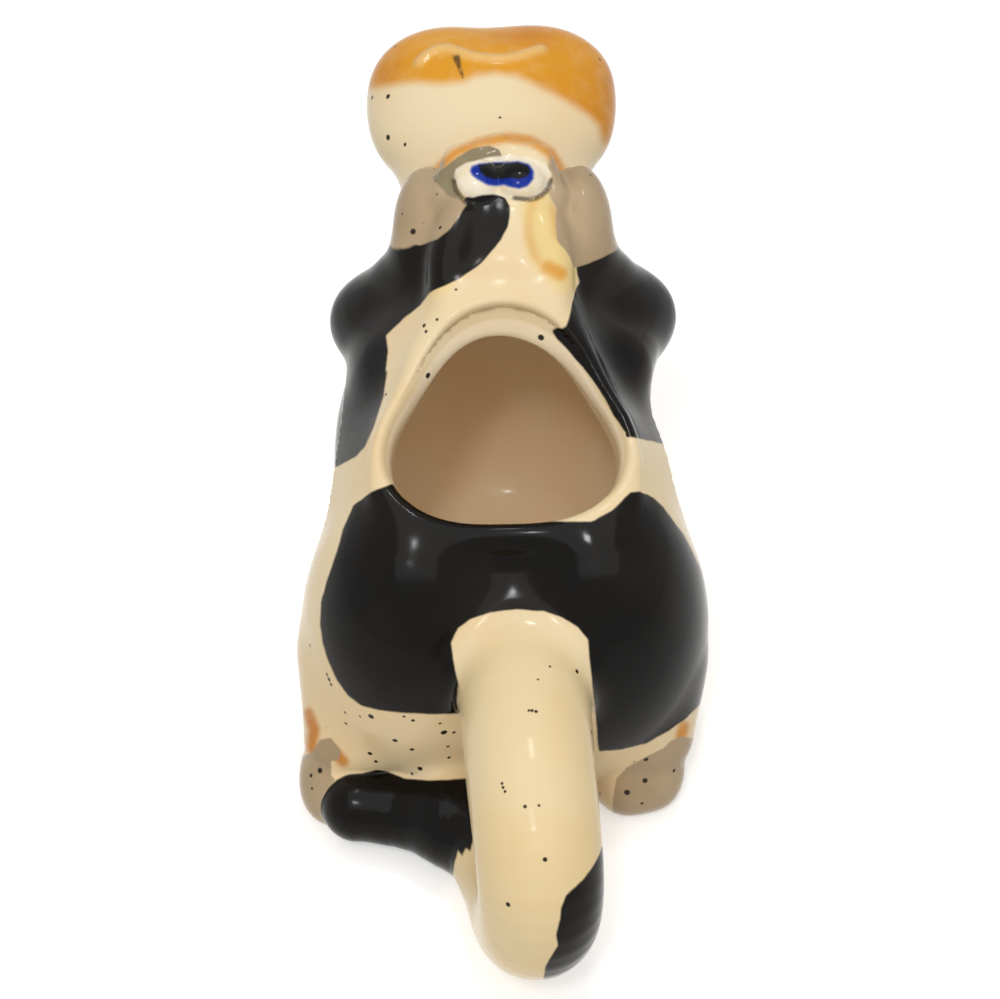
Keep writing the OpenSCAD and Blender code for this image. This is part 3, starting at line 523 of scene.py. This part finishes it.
OLIVE_LID = [(432, 178), (457, 158), (472, 149), (490, 146), (499, 150), (504, 161), (489, 165), (473, 165),
             (464, 168), (455, 178), (453, 188), (460, 200), (448, 196)]
LEFT_HOOF = [(415, 172), (398, 184), (386, 215), (388, 243), (400, 242), (420, 246), (438, 239), (450, 230),
             (459, 217), (467, 204), (453, 190), (446, 184), (434, 180)]
RIGHT_HOOF = [(587, 172), (577, 182), (571, 190), (566, 203), (557, 207), (555, 220), (557, 240), (561, 256),
              (566, 270), (580, 267), (600, 259), (618, 250), (620, 215), (606, 184)]
EYES = [(453, 178), (456, 170), (466, 163), (489, 158), (505, 156), (525, 157), (545, 163), (552, 174), (550, 186),
        (543, 194), (533, 199), (523, 200), (507, 198), (495, 195), (484, 195), (473, 198), (464, 197), (456, 189)]
RIGHT_FOOT = [(612, 830), (613, 800), (616, 779), (627, 768), (646, 757), (663, 749), (671, 741), (681, 737),
              (700, 740), (700, 830)]
LEFT_FOOT = [(300, 757), (313, 752), (320, 740), (331, 738), (341, 752), (339, 760), (331, 762), (331, 776),
             (345, 790), (345, 850), (290, 850), (290, 757)]
# Each patch ends on the unseen side at a ball: outline, the ball's middle and its radius
PATCHES = [(LEFT_FLANK, (-32, 10, 60), 26), (RIGHT_FLANK, (27, 8, 66), 28), (NAPE_PATCH, (-22, 22, 84), 32),
           (TAIL_PATCH, (12, -88, 22), 22)]
HOOF_PATCHES = [(LEFT_HOOF, (-14, 33, 93), 13), (RIGHT_HOOF, (14, 32, 92), 14), (RIGHT_FOOT, (28, -40, 8), 17),
                (LEFT_FOOT, (-36, -42, 8), 16)]
RUMP_MIDDLE, RUMP_REACH = (0, -28, 40), 48
TAIL_ROOT, TAIL_ROOT_REACH = (3, -50, 42), 26


def line_distance(pixels, line):
    """Distance in pixels to a broken line."""
    near = np.full(len(pixels), FAR)
    for s, e in zip(np.array(line[:-1], float), np.array(line[1:], float)):
        t = np.clip((pixels - s) @ (e - s) / ((e - s) @ (e - s)), 0, 1)
        near = np.minimum(near, np.linalg.norm(pixels - s - t[:, None] * (e - s), axis=1))
    return near


def soft_step(x, low, high):
    """0 below low, 1 above high, and smooth between."""
    t = np.clip((x - low) / (high - low), 0, 1)
    return t * t * (3 - 2 * t)


def field_of(*names):
    """The nearest of some pieces' fields at the skin's points."""
    return np.min([part_field(name, points) for name in names], 0)


def over(inner, outer):
    """How far a point is from the edge between two forms, inside the first; far where the first is far."""
    return np.where(inner > FAR / 2, FAR, inner - outer)


pixels = to_pixels(points)
facing = np.einsum("ij,ij->i", normals, CAMERA - points) > 0
depths = np.linalg.norm(points - CAMERA, axis=1)
SEARCH_PX, FRONT_DEEP, LEAST_TILT = 6, 4, 0.3


def on_skin(pixel):
    """The point of the skin that the camera sees at a pixel."""
    away = np.linalg.norm(pixels - pixel, axis=1)
    close = np.flatnonzero((away < SEARCH_PX) & facing)
    close = close[depths[close] < depths[close].min() + FRONT_DEEP]
    best = close[np.argmin(away[close])]
    u, v = (np.array(pixel) - pixels[best]) * depths[best] / FOCAL_PX
    n = normals[best]
    flat = RIGHT * u - UP * v
    way = unit(CAMERA - points[best])
    return points[best] + flat - way * (n @ flat) / max(n @ way, LEAST_TILT)


def from_line(p, line):
    """The vector to each point from the nearest spot of a line."""
    best = np.full((len(p), 3), FAR)
    for s, e in zip(line[:-1], line[1:]):
        t = np.clip((p - s) @ (e - s) / ((e - s) @ (e - s)), 0, 1)
        away = p - s - t[:, None] * (e - s)
        nearer = (away ** 2).sum(1) < (best ** 2).sum(1)
        best[nearer] = away[nearer]
    return best


# Modelled lines on the skin: the muzzle's lip, the creases under the eyes, and the dark wedge on the lip
LIP_LINE = [(420, 63), (428, 55), (437, 50), (447, 49), (457, 52), (467, 56), (479, 58), (491, 59.5), (504, 59.5),
            (516, 58), (529, 54), (541, 50)]
CREASES = [[(551, 180), (549, 188), (544, 194), (537, 198), (528, 200), (514, 199)],
           [(453, 181), (455, 190), (460, 197), (466, 202)]]
WEDGE = [(451.5, 56.5), (459.5, 57), (461, 66), (464, 78.5), (462.5, 79), (457.5, 68)]
# Line, its half width and its height in millimetres
RELIEFS = [(LIP_LINE, 1.2, 0.7)] + [(line, 1.0, -0.35) for line in CREASES]
for line, wide, rise in RELIEFS:
    away = from_line(points, np.array([on_skin(pixel) for pixel in line]))
    lift = rise * np.exp(-(away ** 2).sum(1) / wide ** 2)
    tilt = (-2 / wide ** 2 * lift)[:, None] * away
    points = points + lift[:, None] * normals
    normals = normals - (tilt - normals * (tilt * normals).sum(1, keepdims=True))
    normals = normals / np.linalg.norm(normals, axis=1, keepdims=True)
lip_away = np.linalg.norm(from_line(points, np.array([on_skin(pixel) for pixel in LIP_LINE])), axis=1)

# Most of the paint is a distance to an edge in millimetres, negative inside; the material makes the edge soft
FACE_ABOVE, HEAD_ABOVE, TUFT_BELOW, LEGS_BEHIND = 84, 80, 26, -20
FORM_LIMIT, TAIL_SEAM = 1.5, 0.25
paint = {}
face = np.where(points[:, 2] > FACE_ABOVE, 0, FAR)
high_up = points[:, 2] > HEAD_ABOVE
forelegs = field_of("left_foreleg", "right_foreleg")
body_here = field_of("body_shell", "head")


def patch(outline, middle, reach):
    """Distance in millimetres to the edge of a painted patch, negative inside it."""
    away = np.linalg.norm(points - np.array(middle), axis=1) - reach
    return np.maximum(outline_distance(pixels, outline) / PX_PER_MM, away)


black = np.maximum(over(forelegs, body_here), forelegs - FORM_LIMIT)
for outline, middle, reach in PATCHES:
    black = np.minimum(black, patch(outline, middle, reach))
rump = np.maximum(patch(RUMP_PATCH, RUMP_MIDDLE, RUMP_REACH), TAIL_SEAM - field_of("tail_handle"))
rump = np.maximum(rump, -patch(TAIL_CREAM, TAIL_ROOT, TAIL_ROOT_REACH))
black = np.minimum(black, rump)
tuft = over(field_of("tail_tuft", "tail_handle"), field_of("body_shell", "left_hind_leg", "left_hind_hoof"))
low = np.where(points[:, 2] < TUFT_BELOW, 0, FAR)
paint["black"] = np.minimum(black, np.maximum(outline_distance(pixels, TUFT_PATCH) / PX_PER_MM, tuft) + low)
hooves = np.full(len(points), FAR)
for word in ("left", "right"):
    behind = field_of(word + "_foreleg", "body_shell", "head")
    hooves = np.minimum(hooves, over(field_of(word + "_fore_hoof"), behind))
for outline, middle, reach in HOOF_PATCHES:
    hooves = np.minimum(hooves, patch(outline, middle, reach))
paint["hoof"] = np.maximum(hooves, -tuft)
eyes = field_of("left_eyeball", "right_eyeball") - FORM_LIMIT
paint["eye"] = np.maximum(eyes, outline_distance(pixels, EYES) / PX_PER_MM) + face
paint["olive"] = outline_distance(pixels, OLIVE_LID) / PX_PER_MM + face
# How far inside the jug a point is, which near the rim also counts from the ridge of its slope; and how far from the
# lip line the painted highlight along the muzzle's lip stays full and where it has faded
RIM_NEAR, INSIDE_LIMIT, LIP_HIGHLIGHT_FULL, LIP_HIGHLIGHT_FADED = 8, 3, 0.3, 2.2
flat, high, _, flare = in_rim(points)
from_ridge = np.where(flat > RIM_NEAR, FAR, flare - flat - high)
paint["inside"] = np.clip(np.minimum(-hollow_form(points) - outside_form(points), from_ridge),
                          -INSIDE_LIMIT, INSIDE_LIMIT)
# A painted highlight: a pale stroke along the ridge of the muzzle's lip
paint["lip"] = 1 - soft_step(lip_away, LIP_HIGHLIGHT_FULL, LIP_HIGHLIGHT_FADED)

AMBER_BAND = [(345, 94), (380, 88), (398, 85), (418, 83), (441, 85), (463, 83), (475, 77), (495, 74), (515, 77),
              (530, 83), (545, 91), (561, 99), (576, 108), (588, 116), (598, 126), (602, 141), (608, 150),
              (640, 150), (640, 0), (345, 0)]
AMBER_ARC = [(434, 173), (455, 154), (480, 143), (508, 138), (530, 141), (550, 153), (563, 173), (567, 190)]
EAR_EDGES = [[(534, 200), (529, 215), (528, 235), (534, 255), (545, 270)], [(553, 210), (556, 235)]]
EAR_TIP_STREAK, EYE_BLUSH = [(548, 268), (560, 274)], [(528, 193), (538, 196)]
# Strokes of amber on the head: line, strength, and the pixels at which it begins to fade and is gone
HEAD_STROKES = [(AMBER_ARC, 0.9, 1, 9)] + [(line, 0.35, 0, 8) for line in EAR_EDGES]
HEAD_STROKES += [(EAR_TIP_STREAK, 0.8, 3, 11), (EYE_BLUSH, 0.5, 1, 8)]
LEG_STREAKS = [[(308, 714), (314, 730), (311, 750)], [(334, 752), (343, 762)], [(684, 727), (681, 736)]]
CREASE_HALF_WIDE = 0.4
paint["crease"] = np.min([line_distance(pixels, line) for line in CREASES], 0) / PX_PER_MM - CREASE_HALF_WIDE
paint["crease"] = np.minimum(paint["crease"], outline_distance(pixels, WEDGE) / PX_PER_MM) + face
# Amber of the muzzle: by the outline in pixels where the skin faces the camera, else by how far forward it lies
MUZZLE_HALF_W, BEND_RIGHT, BEND_LEFT = 26, 5, 11
out_x = (points[:, 0] - MUZZLE_AT[0]) / MUZZLE_HALF_W
muzzle_y = points[:, 1] - MUZZLE_AT[1] - np.where(out_x > 0, BEND_RIGHT, BEND_LEFT) * out_x ** 2
turned = soft_step(np.einsum("ij,ij->i", normals, CAMERA - points) / depths, -0.05, 0.2)
banded = 1 - soft_step(outline_distance(pixels, AMBER_BAND), -7, 6)
amber = (turned * banded + (1 - turned) * soft_step(muzzle_y, -11.5, -5.5)) * (field_of("muzzle") < 3)
strokes = [(stroke, high_up) for stroke in HEAD_STROKES]
strokes += [((line, 0.95, 2, 9), points[:, 1] < LEGS_BEHIND) for line in LEG_STREAKS]
for (line, strength, full, faded), where in strokes:
    amber = np.maximum(amber, strength * (1 - soft_step(line_distance(pixels, line), full, faded)) * where)
paint["amber"] = amber
paint["speckled"] = np.maximum(1 - soft_step(paint["hoof"], -0.3, 0.3), (1 - soft_step(points[:, 2], 14, 30)) * 0.8)
ears = field_of("left_ear", "right_ear")
tail_wash = 0.35 * soft_step(-field_of("tail_handle"), -1.5, 0.5)
paint["yellow_wash"] = (1 - soft_step(ears, 0.5, 3.0)) * high_up + tail_wash

IRISES = [(472, 166), (469.6, 170.6), (472, 176), (478, 180.6), (487, 185.6), (496.4, 187), (504, 185.6), (510, 188),
          (519.4, 189.8), (528.5, 186.7), (533.6, 179.8), (534, 171.4), (529.3, 164.5), (518, 161.4), (502.5, 162.2),
          (479.5, 163.7)]
PUPILS = [(478, 165), (490, 163.6), (502.5, 163.6), (518, 162.8), (527.8, 165.3), (530.8, 172.2), (527, 177.5),
          (518, 180), (510, 178.3), (502.5, 179.5), (493.3, 180), (485.7, 177.5), (480.3, 173)]
paint["iris"] = outline_distance(pixels, IRISES) / PX_PER_MM + face
paint["pupil"] = outline_distance(pixels, PUPILS) / PX_PER_MM + face
# Specks: pixel and radius in pixels
FLECKS = [(388, 97, 2.4), (372, 98, 2), (388, 138, 2.6), (405, 145, 1.8),
          (500, 118, 1.2), (395, 47, 1.5), (600, 60, 1.5), (413, 232, 2.6), (440, 228, 1.6), (424, 326, 1.8),
          (426, 332, 1.4), (437, 320, 1.2), (456, 290, 1.0), (541, 338, 2.8), (428, 376, 2.6), (628, 435, 2.4),
          (386, 395, 1.4), (371, 717, 2.8), (327, 675, 1.6), (329, 680, 2.2), (331, 685, 1.8), (310, 646, 1.4),
          (413, 721, 1.6), (345, 713, 1.4), (360, 717, 1.0), (346, 724, 1.4),
          (395, 741, 2.4), (412, 750, 2.0), (444, 733, 3.0), (454, 733, 1.6), (370, 754, 2.2), (376, 762, 1.8),
          (420, 769, 2.4), (440, 724, 1.2), (404, 717, 1.2), (449, 758, 1.6), (448, 747, 1.4), (412, 774, 1.4),
          (320, 771, 2.6), (311, 776, 1.8), (312, 789, 1.2), (550, 667, 1.0), (538, 680, 0.8), (529, 711, 1.1),
          (532, 711, 1.3), (536, 712, 1.4), (577, 672, 2.0), (592, 733, 1.8), (502, 784, 1.1), (503, 788, 1.2),
          (505, 792, 1.1), (525, 807, 1.4), (539, 806, 1.0), (545, 860, 1.8), (508, 905, 2.0), (627, 793, 2.8),
          (645, 781, 2.4), (646, 760, 2.2), (642, 804, 1.4), (674, 771, 1.8)]
FLECK_SPOTS = [(on_skin((u, v)) * MM, size / PX_PER_MM * MM) for u, v, size in FLECKS]


# ---- Materials -------------------------------------------------------------------------------
def srgb(r, g, b):
    """A colour as seen on screen, in linear light, by the curve of the sRGB standard."""
    return tuple(((c / 255 + 0.055) / 1.055) ** 2.4 if c > 10 else c / 255 / 12.92 for c in (r, g, b)) + (1.0,)


CREAM, CREAM_WARM = srgb(243, 222, 182), srgb(240, 212, 164)
# The inside's colours are painted paler than the cream outside: painted light that makes up for the light the opening
# keeps out of the jug
INSIDE_LIGHTENED, INSIDE_LIGHTENED_DARKER = srgb(255, 238, 206), srgb(253, 228, 190)
BLACK, BLACK_WARM = srgb(14, 12, 10), srgb(28, 23, 18)
AMBER, AMBER_DEEP, YELLOW = srgb(230, 160, 42), srgb(206, 124, 22), srgb(240, 210, 136)
# The pale lip colour is a painted highlight along the ridge of the muzzle's lip
HOOF, HOOF_DARK, OLIVE, LIP_HIGHLIGHT = srgb(196, 172, 140), srgb(176, 152, 120), srgb(146, 132, 102), srgb(244, 206, 136)
EYE_WHITE, IRIS, IRIS_PALE = srgb(250, 238, 214), srgb(16, 46, 150), srgb(70, 100, 190)
PUPIL, FLECK = srgb(14, 14, 12), srgb(50, 42, 32)
CLAY, CLAY_DARK = srgb(214, 190, 160), srgb(180, 152, 120)
# Scales of the noises, and how far they move a painted edge in millimetres
BROAD_SCALE, FINE_SCALE, EDGE_SCALE, EDGE_WOBBLE = 38, 260, 420, 0.07
ROUGH_SCALE, WAVE_SCALE, DOT_SCALE, GRAIN_SCALE = 120, 70, 330, 1500
GLAZE_IOR, GLAZE_SPECULAR = 1.5, 0.12


class Nodes:
    """A short way to write a node tree."""

    def __init__(self, name):
        self.material = bpy.data.materials.new(name)
        self.material.use_nodes = True
        self.tree = self.material.node_tree
        self.shader = self.tree.nodes["Principled BSDF"]

    def put(self, kind, inputs=(), **settings):
        node = self.tree.nodes.new(kind)
        for key, value in settings.items():
            setattr(node, key, value)
        for key, value in dict(inputs).items():
            self.set(node.inputs[key], value)
        return node

    def set(self, socket, value):
        if isinstance(value, bpy.types.NodeSocket):
            self.tree.links.new(value, socket)
        else:
            socket.default_value = value

    def attribute(self, name):
        return self.put("ShaderNodeAttribute", attribute_name=name).outputs["Fac"]

    def math(self, operation, a, b=0.0, c=0.0):
        return self.put("ShaderNodeMath", {0: a, 1: b, 2: c}, operation=operation).outputs[0]

    def ramp(self, value, low, high, to_low=0.0, to_high=1.0):
        return self.put("ShaderNodeMapRange", {"Value": value, "From Min": low, "From Max": high, "To Min": to_low,
                                               "To Max": to_high}, interpolation_type="SMOOTHSTEP").outputs[0]

    def mix(self, factor, a, b):
        node = self.put("ShaderNodeMix", data_type="RGBA")
        for key, value in ((0, factor), (6, a), (7, b)):
            self.set(node.inputs[key], value)
        return node.outputs[2]

    def noise(self, scale, detail=3.0, roughness=0.5, at=None):
        node = self.put("ShaderNodeTexNoise", {"Scale": scale, "Detail": detail, "Roughness": roughness})
        self.tree.links.new(at or self.place(), node.inputs["Vector"])
        return node.outputs["Fac"]

    def place(self):
        if not hasattr(self, "_place"):
            self._place = self.put("ShaderNodeTexCoord").outputs["Object"]
        return self._place


def nearest(n, spots):
    """The smallest distance to some spots' edges, each a point and a radius in metres."""
    out = None
    for place, radius in spots:
        away = n.put("ShaderNodeVectorMath", {0: n.place(), 1: tuple(place)}, operation="DISTANCE").outputs["Value"]
        away = n.math("SUBTRACT", away, float(radius))
        out = away if out is None else n.math("MINIMUM", out, away)
    return out


def glaze(name):
    """The painted glaze: its colour is mixed layer on layer, from the cream ground to the specks."""
    n = Nodes(name)
    wobble = n.ramp(n.noise(EDGE_SCALE, 2.0), 0.2, 0.8, -EDGE_WOBBLE, EDGE_WOBBLE)
    broad = n.noise(BROAD_SCALE, 3.0)
    fine = n.noise(FINE_SCALE, 4.0)
    cream = n.mix(n.ramp(broad, 0.35, 0.75), CREAM, CREAM_WARM)
    cream = n.mix(n.math("MULTIPLY", n.attribute("yellow_wash"), 0.8), cream, YELLOW)
    amber = n.mix(n.ramp(broad, 0.35, 0.75), AMBER, AMBER_DEEP)
    colour = n.mix(n.math("MULTIPLY", n.attribute("amber"), n.ramp(fine, 0.1, 0.6, 0.8, 1.0)), cream, amber)

    def edge(attribute, soft=0.25):
        at = n.math("ADD", n.attribute(attribute), wobble)
        return n.ramp(at, -soft, soft, 1.0, 0.0)

    # A painted highlight: the ridge of the lip is lightened towards a pale yellow
    colour = n.mix(n.math("MULTIPLY", n.attribute("lip"), 0.65), colour, LIP_HIGHLIGHT)
    hoof = n.mix(n.ramp(broad, 0.35, 0.7), HOOF, HOOF_DARK)
    dark = n.mix(n.ramp(broad, 0.4, 0.7), BLACK, BLACK_WARM)
    colour = n.mix(edge("black"), colour, dark)
    colour = n.mix(edge("hoof"), colour, hoof)
    colour = n.mix(edge("olive"), colour, OLIVE)
    white = n.mix(n.ramp(fine, 0.4, 0.8), EYE_WHITE, CREAM)
    colour = n.mix(edge("eye", 0.3), colour, white)
    colour = n.mix(edge("iris", 0.35), colour, n.mix(n.ramp(n.attribute("iris"), -0.8, 0.5), IRIS, IRIS_PALE))
    colour = n.mix(edge("pupil", 0.35), colour, PUPIL)
    colour = n.mix(n.ramp(n.attribute("crease"), -0.25, 0.35, 0.8, 0.0), colour, FLECK)
    dots = n.put("ShaderNodeTexVoronoi", {"Scale": DOT_SCALE})
    n.tree.links.new(n.place(), dots.inputs["Vector"])
    few = n.math("GREATER_THAN", n.put("ShaderNodeSeparateColor", {0: dots.outputs["Color"]}).outputs[0], 0.55)
    dot = n.math("MULTIPLY", n.ramp(dots.outputs["Distance"], 0.06, 0.12, 0.8, 0.0), few)
    colour = n.mix(n.math("MULTIPLY", dot, n.attribute("speckled")), colour, FLECK)
    # Painted light: the inside of the jug is coloured near white, paler than the same glaze outside, to brighten its
    # shade
    inside = n.mix(n.ramp(broad, 0.3, 0.7), INSIDE_LIGHTENED, INSIDE_LIGHTENED_DARKER)
    colour = n.mix(n.ramp(n.attribute("inside"), -0.1, 0.9), colour, inside)
    speck = n.ramp(nearest(n, FLECK_SPOTS), -0.0001, 0.0002, 1.0, 0.0)
    colour = n.mix(speck, colour, FLECK)
    n.set(n.shader.inputs["Base Color"], colour)
    n.set(n.shader.inputs["Roughness"], n.ramp(n.noise(ROUGH_SCALE, 3.0), 0.3, 0.7, 0.10, 0.20))
    n.shader.inputs["IOR"].default_value = GLAZE_IOR
    n.shader.inputs["Specular IOR Level"].default_value = GLAZE_SPECULAR
    waves = n.put("ShaderNodeBump", {"Strength": 0.25, "Distance": 0.0006, "Height": n.noise(WAVE_SCALE, 2.0)})
    pits = n.put("ShaderNodeBump", {"Strength": 0.15, "Distance": 0.0001, "Height": fine, "Normal": waves.outputs[0]})
    n.set(n.shader.inputs["Normal"], pits.outputs[0])
    return n.material


def bisque():
    """Bare clay of the pad that the jug stands on."""
    n = Nodes("bisque_clay")
    grain = n.noise(GRAIN_SCALE, 5.0, 0.7)
    n.set(n.shader.inputs["Base Color"], n.mix(n.ramp(grain, 0.3, 0.7), CLAY, CLAY_DARK))
    n.set(n.shader.inputs["Roughness"], n.ramp(grain, 0.3, 0.7, 0.75, 0.95))
    bump = n.put("ShaderNodeBump", {"Strength": 0.5, "Distance": 0.0002, "Height": grain})
    n.set(n.shader.inputs["Normal"], bump.outputs[0])
    return n.material


# ---- Pieces ----------------------------------------------------------------------------------
def mesh_piece(name, faces, material):
    """One piece of the skin, with the paint and the skin's own normals on its points."""
    used, inverse = np.unique(faces, return_inverse=True)
    mesh = bpy.data.meshes.new(name)
    mesh.from_pydata((points[used] * MM).tolist(), [], inverse.reshape(faces.shape).tolist())
    for key, values in paint.items():
        layer = mesh.attributes.new(key, "FLOAT", "POINT")
        layer.data.foreach_set("value", values[used].astype(np.float32))
    mesh.polygons.foreach_set("use_smooth", [True] * len(mesh.polygons))
    mesh.normals_split_custom_set_from_vertices(normals[used].tolist())
    mesh.materials.append(material)
    obj = bpy.data.objects.new(name, mesh)
    bpy.context.scene.collection.objects.link(obj)
    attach(obj, "root")
    return obj


glazed = glaze("painted_glaze")
clay = bisque()
# A face belongs to the piece whose field is the lowest there. Inside the jug only body, head and muzzle count.
middles = points[quads].mean(1)
names = [name for name, _, _, _ in PIECES]
fields = np.stack([part_field(name, middles) for name in names], 1)
inner = -outside_form(middles) > WALL / 2
fields[inner, names.index("muzzle") + 1:] = FAR
owner = np.argmin(fields, 1)


def neighbours(faces):
    """Pairs of faces that share an edge."""
    count = len(faces)
    edges = np.sort(np.concatenate([faces[:, [k, (k + 1) % 4]] for k in range(4)]), 1)
    face = np.tile(np.arange(count), 4)
    order = np.lexsort((edges[:, 1], edges[:, 0]))
    same = (edges[order][1:] == edges[order][:-1]).all(1)
    return face[order][:-1][same], face[order][1:][same]


# Faces cut off from their piece go to the piece around them
a_side, b_side = neighbours(quads)
for _ in range(ISLAND_ROUNDS):
    label = np.arange(len(quads))
    joined = owner[a_side] == owner[b_side]
    a_in, b_in = a_side[joined], b_side[joined]
    while True:
        low_label = np.minimum(label[a_in], label[b_in])
        new = label.copy()
        np.minimum.at(new, a_in, low_label)
        np.minimum.at(new, b_in, low_label)
        new = new[new]
        if (new == label).all():
            break
        label = new
    size = np.bincount(label, minlength=len(quads))[label]
    small = size < ISLAND
    if not small.any():
        break
    for one, two in ((a_side, b_side), (b_side, a_side)):
        take = small[one] & ~small[two]
        owner[one[take]] = owner[two[take]]

for number, (name, _, _, slot) in enumerate(PIECES):
    faces = quads[owner == number]
    if len(faces):
        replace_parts(mesh_piece(name + "_glazed", faces, glazed), name)

# ---- Floor, light and camera -----------------------------------------------------------------
FLOOR_SIZE = 3.0
# Soft light of the room, and what makes the lit floor white to the camera
ROOM_LEVEL, FLOOR_GLOW = 0.32, 0.45
FLOOR_COLOUR, FLOOR_ROUGHNESS = (0.85, 0.84, 0.82, 1), 0.9
LOOKED_AT = Vector((0, 0, 0.05))
CLIP_START = 0.01
floor_mesh = bpy.data.meshes.new("floor")
floor_mesh.from_pydata([(x * FLOOR_SIZE, y * FLOOR_SIZE, 0) for x, y in ((-1, -1), (1, -1), (1, 1), (-1, 1))], [],
                       [(0, 1, 2, 3)])
floor = bpy.data.objects.new("floor", floor_mesh)
bpy.context.scene.collection.objects.link(floor)
pale = Nodes("pale_floor")
pale.shader.inputs["Base Color"].default_value = FLOOR_COLOUR
pale.shader.inputs["Roughness"].default_value = FLOOR_ROUGHNESS
seen = pale.put("ShaderNodeLightPath")
shown = pale.math("MAXIMUM", seen.outputs["Is Camera Ray"], seen.outputs["Is Glossy Ray"])
shown = pale.math("MAXIMUM", shown, seen.outputs["Is Transmission Ray"])
glow = pale.put("ShaderNodeEmission", {"Color": (1, 1, 1, 1)})
pale.set(glow.inputs["Strength"], pale.math("MULTIPLY", shown, FLOOR_GLOW))
both = pale.put("ShaderNodeAddShader")
pale.tree.links.new(pale.shader.outputs[0], both.inputs[0])
pale.tree.links.new(glow.outputs[0], both.inputs[1])
pale.tree.links.new(both.outputs[0], pale.tree.nodes["Material Output"].inputs["Surface"])
floor_mesh.materials.append(pale.material)

bpy.data.objects[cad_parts["base_pad"].name].data.materials.clear()
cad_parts["base_pad"].data.materials.append(clay)


def lamp(name, place, size, power):
    """A square soft lamp, in metres and watts, that faces the object."""
    light = bpy.data.lights.new(name, "AREA")
    light.shape, light.size, light.energy = "SQUARE", size, power
    obj = bpy.data.objects.new(name, light)
    obj.location = place
    obj.rotation_euler = (LOOKED_AT - Vector(place)).to_track_quat("-Z", "Y").to_euler()
    bpy.context.scene.collection.objects.link(obj)


lamp("key", (-0.10, -0.42, 0.80), 0.08, 1.2)
lamp("far_key", (0.02, 0.14, 0.90), 0.08, 0.9)
lamp("overhead", (0.0, -0.30, 1.05), 1.20, 5.6)

world = bpy.data.worlds.new("studio")
world.use_nodes = True
bpy.context.scene.world = world
tree = world.node_tree
background = tree.nodes["Background"]
background.inputs["Color"].default_value = (1, 1, 1, 1)
path = tree.nodes.new("ShaderNodeLightPath")
level = tree.nodes.new("ShaderNodeMapRange")
level.inputs["To Min"].default_value = ROOM_LEVEL
level.inputs["To Max"].default_value = 1.0
shown = path.outputs["Is Camera Ray"]
for ray in ("Is Glossy Ray", "Is Transmission Ray"):
    either = tree.nodes.new("ShaderNodeMath")
    either.operation = "MAXIMUM"
    tree.links.new(shown, either.inputs[0])
    tree.links.new(path.outputs[ray], either.inputs[1])
    shown = either.outputs[0]
tree.links.new(shown, level.inputs["Value"])
tree.links.new(level.outputs[0], background.inputs["Strength"])

camera = bpy.data.cameras.new("camera")
camera.sensor_width = SENSOR_MM
camera.lens = FOCAL_PX * SENSOR_MM / PHOTO_W
camera.shift_x = -(AXIS_PX[0] - PHOTO_W / 2) / PHOTO_W
camera.clip_start = CLIP_START
seat = bpy.data.objects.new("camera", camera)
rows = [(RIGHT[k], UP[k], BACK[k], CAMERA[k] * MM) for k in range(3)]
seat.matrix_world = Matrix((*rows, (0, 0, 0, 1)))
bpy.context.scene.collection.objects.link(seat)
bpy.context.scene.camera = seat
bpy.context.scene.view_settings.view_transform = "Standard"
